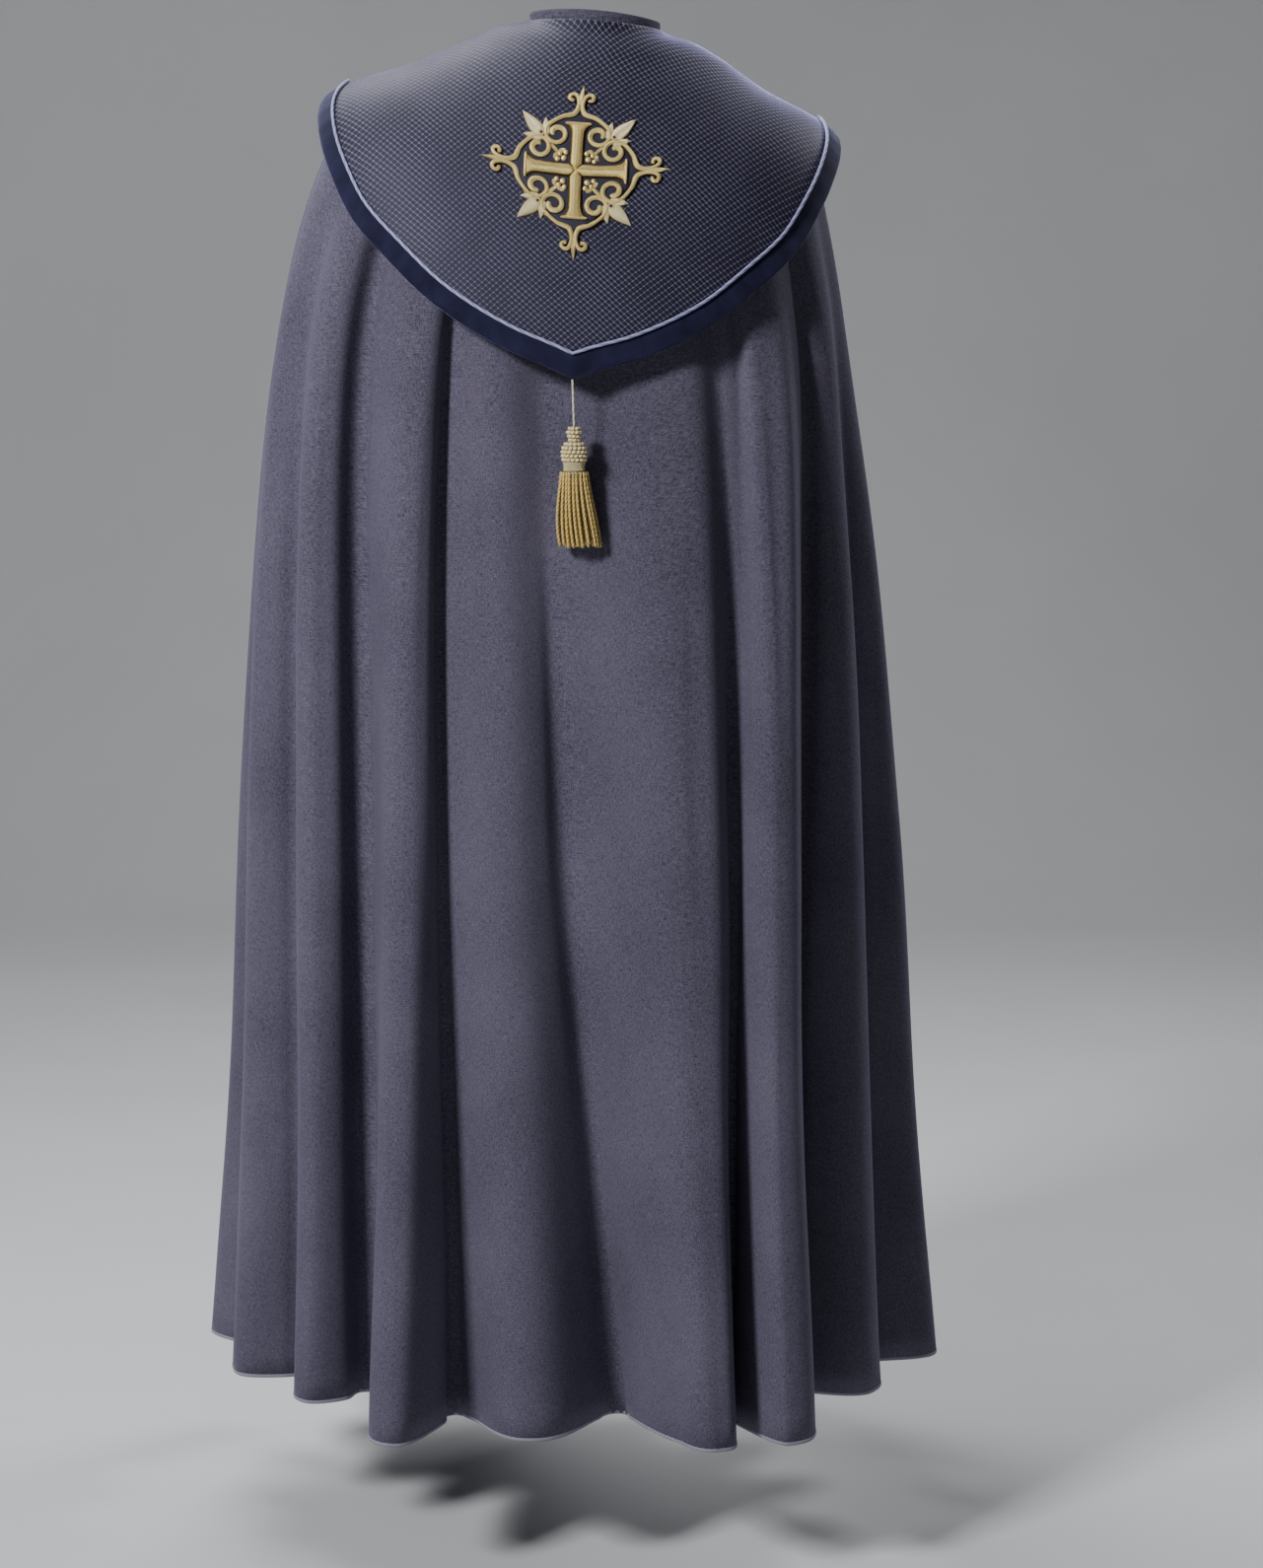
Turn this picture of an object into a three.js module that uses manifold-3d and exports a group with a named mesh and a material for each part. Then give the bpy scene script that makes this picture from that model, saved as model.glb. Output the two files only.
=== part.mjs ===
// A cope: a semicircular ceremonial cape, as worn and seen hanging from the shoulders.
// Millimetres, +Z up. The wearer's right is +X and the wearer's back faces -Y.
// The origin is the middle of the neckline, at the level where the cloth rests on the shoulders.

import * as THREE from 'three';
import { mergeVertices } from 'three/addons/utils/BufferGeometryUtils.js';
import Module from 'manifold-3d';

// Driving dimensions

const CAPE_WALL = 1.5;
const CAPE_LEVELS = 9;
const CAPE_ROWS = 15;
const COLUMNS_PER_FLANK = 4;

const HOOD_WALL = 2.5;
const HOOD_COLUMNS = 44;
const HOOD_ROWS = 9;
const HOOD_REACH = 92;
const HOOD_NECK_REACH = 90;
const HOOD_SEAT = 0.5;
const HOOD_SEAT_LEVELS = 1.2;

const BAND_WIDTH = 24;
const BAND_WALL = 3.2;
const BAND_ROWS = 2;
const PIPING_RADIUS = 1.7;
const PIPING_SIDES = 5;
const SEAM_GAP = 0.3;

const NECKBAND_ABOVE = 12;
const NECKBAND_BELOW = 6;
const NECKBAND_WALL = 3.2;
const NECKBAND_INSET = 2.1;
const NECKBAND_REACH = 153;
const NECKBAND_COLUMNS = 40;

const CLASP_LENGTH = 156;
const CLASP_HEIGHT = 52;
const CLASP_WALL = 2.4;
const CLASP_LEVEL = 3.6;
const CLASP_LIFT = 1.2;

const CORD_RADIUS = 1.1;
const CORD_LENGTH = 46;
const CORD_SIDES = 8;
const CORD_STEPS = 10;
const HEAD_SIDES = 14;
const SKIRT_LENGTH = 74;
const SKIRT_LEAN = 9;
const STRAND_RADIUS = 0.95;

function sectionRow([name, half, back, front, square, backZ, sideZ, frontZ]) {
  return { name, half, back, front, square, backZ, sideZ, frontZ };
}

// The cape's cross-sections from the neck down to the hem: half the width, depth behind and in
// front of the neck's middle, how square the plan is, and the height of the cloth at the back,
// at the sides and in front.
const SECTIONS = [
  // name, half, back, front, square, backZ, sideZ, frontZ
  ['neck', 70, 60, 52, 0, 28, 24, -22],
  ['collar_root', 96, 74, 74, 0, -2, 12, -50],
  ['slope', 166, 106, 104, 0.02, -62, -24, -104],
  ['shoulder', 234, 132, 126, 0.04, -132, -70, -170],
  ['upper_arm', 268, 150, 146, 0.05, -215, -156, -250],
  ['elbow', 296, 168, 172, 0.07, -335, -300, -360],
  ['waist', 318, 196, 206, 0.08, -540, -515, -550],
  ['hip', 334, 226, 240, 0.09, -820, -800, -810],
  ['knee', 346, 252, 268, 0.1, -1110, -1095, -1100],
  ['hem', 364, 280, 294, 0.1, -1402, -1385, -1390],
].map(sectionRow);

// The hood's own sections: it is stiffer than the cape and stands out past the shoulders.
const HOOD_SECTIONS = [
  // name, half, back, front, square, backZ, sideZ, frontZ
  ['neck', 72, 61, 54, 0, 29, 25, -20],
  ['collar_root', 104, 78, 78, 0, 4, 18, -40],
  ['slope', 178, 114, 112, 0.02, -58, -21, -90],
  ['tip', 268, 148, 140, 0.03, -140, -66, -150],
  ['side', 291, 178, 168, 0.03, -232, -150, -240],
  ['point', 316, 202, 190, 0.03, -331, -262, -330],
].map(sectionRow);

// How far down its sections the hood's edge lies, from the centre back round to the shoulder tip.
const HOOD_EDGE = [
  { angle: 0, level: 5.0 },
  { angle: 5, level: 4.9 },
  { angle: 13, level: 4.78 },
  { angle: 27, level: 4.52 },
  { angle: 38, level: 4.26 },
  { angle: 50, level: 4.0 },
  { angle: 60, level: 3.68 },
  { angle: 70, level: 3.36 },
  { angle: 82, level: 3.08 },
  { angle: 93, level: 2.9 },
];

// The cape's folds from one front edge round the back to the other. Each row is the crest of a
// fold or the bottom of the valley beside it: its angle round the body at the elbow, hip, knee
// and hem, and how far it stands out from (or sinks into) the sections at the elbow, hip and hem.
// tight shapes the flank down to the next row: above 1 the crest is broad and the valley narrow.
const FOLDS = [
  // name, angle at elbow, hip, knee and hem, rise at elbow, hip and hem, tight
  ['left_front_edge', -168, -162, -161, -160, 0, 0, 0, 1.2],
  ['v1', -157, -151, -150, -149, -6, -20, -34, 1.2],
  ['r1', -144, -140, -139, -138, 6, 18, 32, 1.3],
  ['v2', -130, -129, -128, -128, -7, -24, -44, 1.3],
  ['r2', -119, -118, -117, -116, 7, 16, 26, 1.2],
  ['v3', -108, -107, -106, -105, -7, -22, -46, 1.2],
  ['left_side', -96, -95, -95, -95, 6, 14, 26, 1.2],
  ['v4', -84, -82, -81, -81, -4, -8, -20, 1.2],
  ['a', -71, -68, -67, -67, 5, 4, -2, 1.3],
  ['v5', -58, -55, -54, -55, -6, -26, -62, 1.2],
  ['b', -49, -45, -44, -45, 7, 2, -24, 1.2],
  ['v6', -40, -35.5, -35.5, -36, -8, -30, -86, 1.1],
  ['c', -26.5, -25, -24.5, -24, 12, 26, 50, 2.2],
  ['v7', -21.5, -19.5, -18.8, -18.2, -6, -10, -52, 1.1],
  ['d', -11.5, -8, -6, -4.5, 4, 8, 16, 1.2],
  ['v8', -3, 2, 6.5, 11, -5, -14, -62, 1.15],
  ['e', 20.5, 22, 22.4, 22.1, 9, 22, 64, 2.2],
  ['v9', 31.5, 31, 29.5, 28, -6, -8, -22, 1.8],
  ['f', 39.5, 36.5, 34, 32.2, 10, 32, 70, 1.5],
  ['v10', 54, 47, 45, 44, -8, -28, -62, 1.2],
  ['g', 64, 60, 57.5, 56, 4, 6, 6, 1.2],
  ['v11', 74, 71, 70, 69, -4, -12, -28, 1.2],
  ['right_side', 86, 84, 82, 81, 8, 30, 46, 1.2],
  ['v12', 97, 95, 94, 94, -6, -22, -40, 1.2],
  ['r3', 108, 106, 106, 106, 7, 18, 30, 1.2],
  ['v13', 118, 117, 117, 117, -7, -24, -46, 1.3],
  ['r4', 129, 128, 128, 128, 6, 18, 30, 1.3],
  ['v14', 143, 139, 139, 139, -7, -22, -42, 1.2],
  ['r5', 155, 150, 150, 149, 4, 14, 22, 1.2],
  ['right_front_edge', 168, 162, 161, 160, 0, 0, 0, 1.2],
].map(([name, elbow, hip, knee, hem, outElbow, outHip, outHem, tight]) => (
  { name, elbow, hip, knee, hem, outElbow, outHip, outHem, tight }
));
const NECK_SPREAD = 0.93;
const FOLD_LEVELS = [3.1, 5, 7, 8, 9];
const KNEE_SHARE = 0.42;

// The worn cape hangs a little lower on the wearer's right, and a little to the left.
const TILT = 0.075;
const TILT_FULL_ABOVE = -350;
const TILT_GONE_BELOW = -1200;
const CAPE_SWAY = { across: 38, drop: 130 };
const HOOD_SWAY = { across: 21, drop: 60 };

// The emblem lies on the hood's centre line, this far down from the neck along the cloth.
const EMBLEM_DROP = 176;
const EMBLEM_LIFT = 0.6;
const GROUND_WALL = 0.9;
const GROUND_SPOKES = 40;
const GROUND_RINGS = 5;
const APPLIQUE_FOOT = 2.1;

const CROSS_ARM = 52;
const CROSS_HALF_WIDTH = 7;
const CROSS_END_HALF_WIDTH = 13.6;
const CROSS_FLARE = 10;
const CROSS_CAP = 3.4;
const CROSS_MIDDLE_HEIGHT = 3.4;
const CROSS_EDGE_HEIGHT = 1.2;
const CROSS_STEPS = 12;

// How far the dark ground reaches from the emblem's middle, by the turn from the nearest arm.
const GROUND_EDGE = [
  { turn: 0, reach: 65 },
  { turn: 10, reach: 60 },
  { turn: 20, reach: 56 },
  { turn: 30, reach: 53 },
  { turn: 38, reach: 49 },
  { turn: 45, reach: 42 },
];

// One strand of the frame, right of the upper arm: the curl by the point, the ogee, the scroll.
const CURL = { x: 8.6, y: 79, inner: 1.9, outer: 4.6, from: -150, to: 165, points: 6 };
const OGEE = [{ x: 1.9, y: 70.5 }, { x: 5.2, y: 61.5 }, { x: 16.5, y: 57 }, { x: 27, y: 49 }];
const SCROLL = { x: 20.8, y: 37.8, inner: 3.4, outer: 11.8, from: 28, to: -395, points: 13 };
const STRAND_STEPS = 20;
const STRAND_WIDTH = 4.7;
const STRAND_HEIGHT = 2.6;
const FRAME_FOOT = 2.1;

// Leaves and buds of one corner and one point: where each starts and ends, and how wide it is.
const LEAVES = [
  { name: 'point', x0: 0, y0: 67, x1: 0, y1: 94, width: 6.4 },
  { name: 'corner', x0: 33, y0: 33, x1: 56, y1: 56, width: 14 },
  { name: 'corner_right', x0: 34, y0: 31, x1: 53, y1: 33, width: 10 },
  { name: 'corner_left', x0: 31, y0: 34, x1: 33, y1: 53, width: 10 },
  { name: 'bud_stem', x0: 29, y0: 29, x1: 10.5, y1: 10.5, width: 6 },
  { name: 'bud_right', x0: 17, y0: 17, x1: 22, y1: 10.5, width: 5.2 },
  { name: 'bud_left', x0: 17, y0: 17, x1: 10.5, y1: 22, width: 5.2 },
];
const LEAF_STEPS = 3;
const LEAF_HEIGHT = 2.9;

// The tassel's turned head from its top down: how far below the cord, and its radius.
const TASSEL_HEAD = [
  { below: 0, radius: 2.4 },
  { below: 2.5, radius: 6 },
  { below: 7, radius: 7.2 },
  { below: 11.5, radius: 5.6 },
  { below: 13.5, radius: 5 },
  { below: 17, radius: 9.4 },
  { below: 24, radius: 12.6 },
  { below: 33, radius: 12.2 },
  { below: 37, radius: 10.4 },
  { below: 41, radius: 9.8 },
  { below: 44, radius: 10.4 },
  { below: 48, radius: 13.2 },
];
// Rings of skirt strands: how many, and how far out each ring is at its root and at its end.
const SKIRT_RINGS = [
  { count: 26, root: 11.6, end: 23 },
  { count: 17, root: 7.4, end: 15.5 },
  { count: 9, root: 3.6, end: 7.6 },
];
const SKIRT_FLATNESS = 0.52;

const SLATE = { color: 0x4a4c5e, roughness: 0.95, metalness: 0 };
const NAVY = { color: 0x1b1c33, roughness: 0.7, metalness: 0 };
const VELVET = { color: 0x34397a, roughness: 0.85, metalness: 0 };
const PERIWINKLE = { color: 0x9aa6d6, roughness: 0.6, metalness: 0 };
const GOLD = { color: 0xcaa850, roughness: 0.45, metalness: 0.35 };
const DARK_GROUND = { color: 0x15152a, roughness: 0.9, metalness: 0 };

const wasm = await Module();
wasm.setup();

// Curves through tables

function clamp(value, low, high) {
  return Math.min(high, Math.max(low, value));
}

function smooth(value) {
  const t = clamp(value, 0, 1);
  return t * t * (3 - 2 * t);
}

// A smooth curve through values given at rising knots, with slopes taken from its neighbours.
// A little past either end it carries on in the same direction.
function curveThrough(knots, values, at) {
  const last = knots.length - 1;
  let i = 0;
  while (i < last - 1 && at > knots[i + 1]) i += 1;
  const slope = (k) => {
    const a = Math.max(0, k - 1);
    const b = Math.min(last, k + 1);
    return (values[b] - values[a]) / (knots[b] - knots[a]);
  };
  const span = knots[i + 1] - knots[i];
  const f = (at - knots[i]) / span;
  const f2 = f * f;
  const f3 = f2 * f;
  return (2 * f3 - 3 * f2 + 1) * values[i] + (f3 - 2 * f2 + f) * span * slope(i)
    + (3 * f2 - 2 * f3) * values[i + 1] + (f3 - f2) * span * slope(i + 1);
}

function column(rows, key) {
  return rows.map((row) => row[key]);
}

const LEVELS = SECTIONS.map((row, index) => index);
const HOOD_LEVELS = HOOD_SECTIONS.map((row, index) => index);

// A point of the smooth body round the sections, before its small tilt and sway.
function sectionPoint(sections, levels, angle, level, out) {
  const read = (key) => curveThrough(levels, column(sections, key), level);
  const a = THREE.MathUtils.degToRad(angle);
  const s = Math.sin(a);
  const c = Math.cos(a);
  const half = read('half');
  const depth = c > 0 ? read('back') : read('front');
  const grow = 1 + read('square') * Math.sin(2 * a) ** 2;
  const endZ = c > 0 ? read('backZ') : read('frontZ');
  const length = Math.hypot(s / half, c / depth);
  return new THREE.Vector3(
    half * s * grow + out * s / half / length,
    -depth * c * grow - out * c / depth / length,
    endZ * c * c + read('sideZ') * s * s,
  );
}

function worn(point, sway) {
  const share = smooth((point.z - TILT_GONE_BELOW) / (TILT_FULL_ABOVE - TILT_GONE_BELOW));
  const shift = sway.across * (1 - Math.exp(Math.min(point.z, 0) / sway.drop));
  return new THREE.Vector3(point.x - shift, point.y, point.z - TILT * share * point.x);
}

// The cape's folded surface

// The angle and rise of one fold row at a level.
function foldAt(fold, level) {
  const at = clamp(level, FOLD_LEVELS[0], CAPE_LEVELS);
  const angles = [fold.elbow, fold.elbow, fold.hip, fold.knee, fold.hem];
  const kneeRise = fold.outHip + (fold.outHem - fold.outHip) * KNEE_SHARE;
  const rises = [0, fold.outElbow, fold.outHip, kneeRise, fold.outHem];
  const spread = 1 - (1 - NECK_SPREAD) * (1 - smooth(level / FOLD_LEVELS[0]));
  return {
    angle: curveThrough(FOLD_LEVELS, angles, at) * spread,
    rise: curveThrough(FOLD_LEVELS, rises, at),
    tight: fold.tight,
    crest: fold.outHem,
  };
}

// place runs from 0 at the first fold row to FOLDS.length - 1 at the last.
function capePoint(place, level) {
  const i = Math.min(Math.floor(clamp(place, 0, FOLDS.length - 1)), FOLDS.length - 2);
  const f = clamp(place - i, 0, 1);
  const a = foldAt(FOLDS[i], level);
  const b = foldAt(FOLDS[i + 1], level);
  const angle = a.angle + (b.angle - a.angle) * f;
  const aIsCrest = a.crest > b.crest;
  const crest = aIsCrest ? a : b;
  const valley = aIsCrest ? b : a;
  const away = aIsCrest ? f : 1 - f;
  const fall = Math.sin(Math.PI / 2 * away ** a.tight) ** 2;
  const rise = crest.rise + (valley.rise - crest.rise) * fall;
  return worn(sectionPoint(SECTIONS, LEVELS, angle, level, rise), CAPE_SWAY);
}

// The outward normal of any surface given as point(u, v), with u running to the wearer's right
// round the back and v running down.
function normalOf(point, u, v, du, dv) {
  const across = point(u + du, v).sub(point(u - du, v));
  const down = point(u, v + dv).sub(point(u, v - dv));
  return down.cross(across).normalize();
}

// Solids from bent blocks

function solidFrom(geometry) {
  const bare = geometry.clone();
  bare.deleteAttribute('normal');
  bare.deleteAttribute('uv');
  const merged = mergeVertices(bare, 1e-5);
  const solid = new wasm.Manifold(new wasm.Mesh({
    numProp: 3,
    vertProperties: new Float32Array(merged.attributes.position.array),
    triVerts: new Uint32Array(merged.index.array),
  }));
  return solid;
}

function geometryFrom(solid) {
  const mesh = solid.getMesh();
  const geometry = new THREE.BufferGeometry();
  const positions = new Float32Array(mesh.numVert * 3);
  for (let i = 0; i < mesh.numVert; i += 1) {
    for (let k = 0; k < 3; k += 1) positions[3 * i + k] = mesh.vertProperties[i * mesh.numProp + k];
  }
  geometry.setAttribute('position', new THREE.BufferAttribute(positions, 3));
  geometry.setIndex(new THREE.BufferAttribute(new Uint32Array(mesh.triVerts), 1));
  geometry.computeVertexNormals();
  return geometry;
}

// Moves every vertex of a geometry, and turns its faces round where the move mirrors them.
function bend(geometry, move) {
  const position = geometry.attributes.position;
  const from = new THREE.Vector3();
  for (let i = 0; i < position.count; i += 1) {
    from.fromBufferAttribute(position, i);
    const to = move(from);
    position.setXYZ(i, to.x, to.y, to.z);
  }
  if (volumeOf(geometry) < 0) {
    const index = geometry.index.array;
    for (let i = 0; i < index.length; i += 3) {
      [index[i + 1], index[i + 2]] = [index[i + 2], index[i + 1]];
    }
  }
  geometry.computeVertexNormals();
  return geometry;
}

function volumeOf(geometry) {
  const position = geometry.attributes.position;
  const index = geometry.index.array;
  const [a, b, c] = [new THREE.Vector3(), new THREE.Vector3(), new THREE.Vector3()];
  let volume = 0;
  for (let i = 0; i < index.length; i += 3) {
    a.fromBufferAttribute(position, index[i]);
    b.fromBufferAttribute(position, index[i + 1]);
    c.fromBufferAttribute(position, index[i + 2]);
    volume += a.dot(b.cross(c)) / 6;
  }
  return volume;
}

// Joins overlapping geometries into one closed solid.
function joined(geometries) {
  return geometryFrom(wasm.Manifold.union(geometries.map(solidFrom)));
}

// A sheet bent from a thin block: place(u, v, side) gives each point, with u and v from 0 to 1
// and side 0 on the inner face and 1 on the outer one.
function sheet(columns, rows, place) {
  const block = new THREE.BoxGeometry(1, 1, 1, columns, rows, 1);
  return bend(block, (p) => place(p.x + 0.5, 0.5 - p.y, p.z + 0.5));
}

// A rod bent along a path: frame(s) gives its centre and the directions across and up at s from
// 0 to 1, and size(s) the distances from the centre to its sides in those directions.
function rod(sides, steps, frame, size) {
  const straight = new THREE.CylinderGeometry(1, 1, 1, sides, steps);
  return bend(straight, (p) => {
    const s = 0.5 - p.y;
    const { centre, across, up } = frame(s);
    const { width, height } = size(s);
    return centre.clone().addScaledVector(across, p.x * width).addScaledVector(up, p.z * height);
  });
}

// The cape

function capeWall() {
  const columns = (FOLDS.length - 1) * COLUMNS_PER_FLANK;
  return sheet(columns, CAPE_ROWS - 1, (u, v, side) => {
    const place = u * (FOLDS.length - 1);
    const level = CAPE_LEVELS * v ** 0.92;
    const point = capePoint(place, level);
    const normal = normalOf(capePoint, place, level, 0.04, 0.02);
    return point.addScaledVector(normal, -CAPE_WALL * (1 - side));
  });
}

// The hood

const HOOD_EDGE_ANGLES = column(HOOD_EDGE, 'angle');
const HOOD_EDGE_LEVELS = column(HOOD_EDGE, 'level');

function hoodEdgeLevel(angle) {
  return curveThrough(HOOD_EDGE_ANGLES, HOOD_EDGE_LEVELS, Math.abs(angle));
}

function capeSmoothPoint(angle, level) {
  return worn(sectionPoint(SECTIONS, LEVELS, angle, level, 0), CAPE_SWAY);
}

// The hood's outer face, seated on the cape at the neck and free of it further down.
function hoodPoint(angle, level) {
  const free = worn(sectionPoint(HOOD_SECTIONS, HOOD_LEVELS, angle, level, 0), HOOD_SWAY);
  const share = 1 - smooth(level / HOOD_SEAT_LEVELS);
  if (share === 0) return free;
  const seated = capeSmoothPoint(angle, level);
  const normal = normalOf(capeSmoothPoint, angle, level, 0.5, 0.02);
  seated.addScaledVector(normal, HOOD_SEAT + HOOD_WALL);
  return free.lerp(seated, share);
}

function hoodNormal(angle, level) {
  return normalOf(hoodPoint, angle, level, 0.5, 0.02);
}

function hoodRaised(angle, level, height) {
  return hoodPoint(angle, level).addScaledVector(hoodNormal(angle, level), height);
}

// The place inward from the hood's edge by a distance along the cloth, in angle and level.
function hoodInset(edgeAngle, distance) {
  const turn = 0.5;
  const drop = 0.02;
  const level = hoodEdgeLevel(edgeAngle);
  const ahead = hoodPoint(edgeAngle + turn, hoodEdgeLevel(edgeAngle + turn));
  const behind = hoodPoint(edgeAngle - turn, hoodEdgeLevel(edgeAngle - turn));
  const along = ahead.sub(behind).normalize();
  const inward = hoodNormal(edgeAngle, level).cross(along).normalize();
  const perAngle = hoodPoint(edgeAngle + turn, level).sub(hoodPoint(edgeAngle - turn, level));
  const perLevel = hoodPoint(edgeAngle, level + drop).sub(hoodPoint(edgeAngle, level - drop));
  perAngle.divideScalar(2 * turn);
  perLevel.divideScalar(2 * drop);
  const aa = perAngle.dot(perAngle);
  const ll = perLevel.dot(perLevel);
  const al = perAngle.dot(perLevel);
  const wantA = inward.dot(perAngle) * distance;
  const wantL = inward.dot(perLevel) * distance;
  const determinant = aa * ll - al * al;
  return {
    angle: edgeAngle + (wantA * ll - wantL * al) / determinant,
    level: level + (wantL * aa - wantA * al) / determinant,
  };
}

// Columns are closer together near the shoulder tips, where the edge turns.
function hoodEdgeAngle(u) {
  const t = 2 * u - 1;
  return HOOD_REACH * Math.sign(t) * Math.abs(t) ** 0.9;
}

function hoodPanelWall() {
  return sheet(HOOD_COLUMNS, HOOD_ROWS - 1, (u, v, side) => {
    const edge = hoodInset(hoodEdgeAngle(u), BAND_WIDTH);
    const start = edge.angle * HOOD_NECK_REACH / HOOD_REACH;
    const angle = start + (edge.angle - start) * v;
    return hoodRaised(angle, edge.level * v, -HOOD_WALL * (1 - side));
  });
}

function hoodBandWall() {
  return sheet(HOOD_COLUMNS, BAND_ROWS, (u, v, side) => {
    const at = hoodInset(hoodEdgeAngle(u), (BAND_WIDTH - SEAM_GAP) * (1 - v));
    return hoodRaised(at.angle, at.level, BAND_WALL * side - HOOD_WALL);
  });
}

// The piping lies over the seam between the panel and the band.
function hoodPipingTube() {
  const seat = BAND_WALL - HOOD_WALL + SEAM_GAP + PIPING_RADIUS;
  const end = 0.004;
  const centreAt = (u) => {
    const at = hoodInset(hoodEdgeAngle(u), BAND_WIDTH);
    return hoodRaised(at.angle, at.level, seat);
  };
  const frame = (s) => {
    const u = end + (1 - 2 * end) * s;
    const at = hoodInset(hoodEdgeAngle(u), BAND_WIDTH);
    const up = hoodNormal(at.angle, at.level);
    const along = centreAt(u + end).sub(centreAt(u - end)).normalize();
    return { centre: centreAt(u), across: along.cross(up).normalize(), up };
  };
  const size = () => ({ width: PIPING_RADIUS, height: PIPING_RADIUS });
  return rod(PIPING_SIDES, HOOD_COLUMNS, frame, size);
}

// The neckband and the front clasp

// A narrow band stands up just inside the neck edge.
function neckbandWall() {
  return sheet(NECKBAND_COLUMNS, 2, (u, v, side) => {
    const angle = NECKBAND_REACH * (2 * u - 1);
    const a = THREE.MathUtils.degToRad(angle);
    const outward = new THREE.Vector3(Math.sin(a), -Math.cos(a), 0);
    const point = capeSmoothPoint(angle, 0);
    point.z += NECKBAND_ABOVE - (NECKBAND_ABOVE + NECKBAND_BELOW) * v;
    return point.addScaledVector(outward, -NECKBAND_INSET - NECKBAND_WALL * (1 - side));
  });
}

// The clasp band lies across the breast, over both front edges.
function claspWall() {
  const half = curveThrough(LEVELS, column(SECTIONS, 'half'), CLASP_LEVEL);
  const perLevel = capeSmoothPoint(180, CLASP_LEVEL - 0.5)
    .distanceTo(capeSmoothPoint(180, CLASP_LEVEL + 0.5));
  return sheet(12, 4, (u, v, side) => {
    const x = CLASP_LENGTH * (0.5 - u);
    const angle = 180 - THREE.MathUtils.radToDeg(Math.asin(x / half));
    const level = CLASP_LEVEL + (v - 0.5) * CLASP_HEIGHT / perLevel;
    const normal = normalOf(capeSmoothPoint, angle, level, 0.5, 0.02);
    const height = CLASP_LIFT + CLASP_WALL * side;
    return capeSmoothPoint(angle, level).addScaledVector(normal, height);
  });
}

// The emblem on the hood

// Distance down the hood's centre line from the neck, and the level at each distance.
const CENTRE_STEPS = 100;
const CENTRE_DROPS = [0];
const CENTRE_LEVELS = [0];
for (let i = 1; i <= CENTRE_STEPS; i += 1) {
  const level = 5 * i / CENTRE_STEPS;
  const step = hoodPoint(0, level).distanceTo(hoodPoint(0, level - 5 / CENTRE_STEPS));
  CENTRE_DROPS.push(CENTRE_DROPS[i - 1] + step);
  CENTRE_LEVELS.push(level);
}

// A point of the emblem: x to the wearer's right and y up from its middle, both along the
// cloth, and height above the hood's face.
function onEmblem(x, y, height) {
  const level = curveThrough(CENTRE_DROPS, CENTRE_LEVELS, EMBLEM_DROP - y);
  const half = curveThrough(HOOD_LEVELS, column(HOOD_SECTIONS, 'half'), level);
  const angle = THREE.MathUtils.radToDeg(Math.asin(x / half));
  return hoodRaised(angle, level, height);
}

function groundReach(turn) {
  const quarter = Math.PI / 2;
  const fromArm = Math.abs(turn - quarter * Math.round(turn / quarter));
  const degrees = THREE.MathUtils.radToDeg(fromArm);
  return curveThrough(column(GROUND_EDGE, 'turn'), column(GROUND_EDGE, 'reach'), degrees);
}

// The ground is a ball flattened onto the hood, so that its rim comes to an edge.
function emblemGround() {
  const ball = new THREE.SphereGeometry(1, GROUND_SPOKES, 2 * GROUND_RINGS);
  return bend(ball, (p) => {
    const share = Math.atan2(Math.hypot(p.x, p.z), Math.abs(p.y)) / (Math.PI / 2);
    const turn = Math.atan2(p.z, p.x);
    const reach = groundReach(turn) * share;
    const side = share > 0.999 ? 0.5 : Number(p.y > 0);
    const height = EMBLEM_LIFT + GROUND_WALL * side;
    return onEmblem(reach * Math.cos(turn), reach * Math.sin(turn), height);
  });
}

// A point turned by whole quarters about the emblem's middle, after an optional mirroring.
function turned(x, y, quarter, mirrored) {
  const turn = new THREE.Vector2(mirrored ? -x : x, y);
  return turn.rotateAround(new THREE.Vector2(), quarter * Math.PI / 2);
}

// One arm runs from a mitred point at the middle to a flared end with a flat cap.
function crossHalfWidth(along) {
  const flareFrom = CROSS_ARM - CROSS_CAP - CROSS_FLARE;
  const flare = clamp((along - flareFrom) / CROSS_FLARE, 0, 1) ** 2.2;
  const wide = CROSS_HALF_WIDTH + (CROSS_END_HALF_WIDTH - CROSS_HALF_WIDTH) * flare;
  return Math.min(wide, along + 1.2);
}

function crossArm(quarter) {
  return sheet(2, CROSS_STEPS, (u, v, side) => {
    const along = -0.8 + (CROSS_ARM + 0.8) * v ** 0.9;
    const across = (2 * u - 1) * crossHalfWidth(along);
    const ridge = CROSS_EDGE_HEIGHT + (CROSS_MIDDLE_HEIGHT - CROSS_EDGE_HEIGHT)
      * (1 - Math.abs(2 * u - 1));
    const flat = turned(across, along, quarter, false);
    return onEmblem(flat.x, flat.y, APPLIQUE_FOOT + ridge * side);
  });
}

function emblemCross() {
  return joined([0, 1, 2, 3].map((quarter) => crossArm(quarter)));
}

// A raised ridge of three sides along a flat path on the emblem.
function emblemRidge(steps, flatPoint, widthAt, height) {
  const straight = new THREE.CylinderGeometry(1, 1, 1, 3, steps);
  return bend(straight, (p) => {
    const s = 0.5 - p.y;
    const middle = flatPoint(s);
    const along = flatPoint(Math.min(1, s + 0.01)).sub(flatPoint(Math.max(0, s - 0.01)));
    along.normalize();
    const across = p.x / Math.sin(Math.PI / 3) * widthAt(s) / 2;
    const up = FRAME_FOOT + height * (p.z + 0.5) / 1.5;
    return onEmblem(middle.x + along.y * across, middle.y - along.x * across, up);
  });
}

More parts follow.
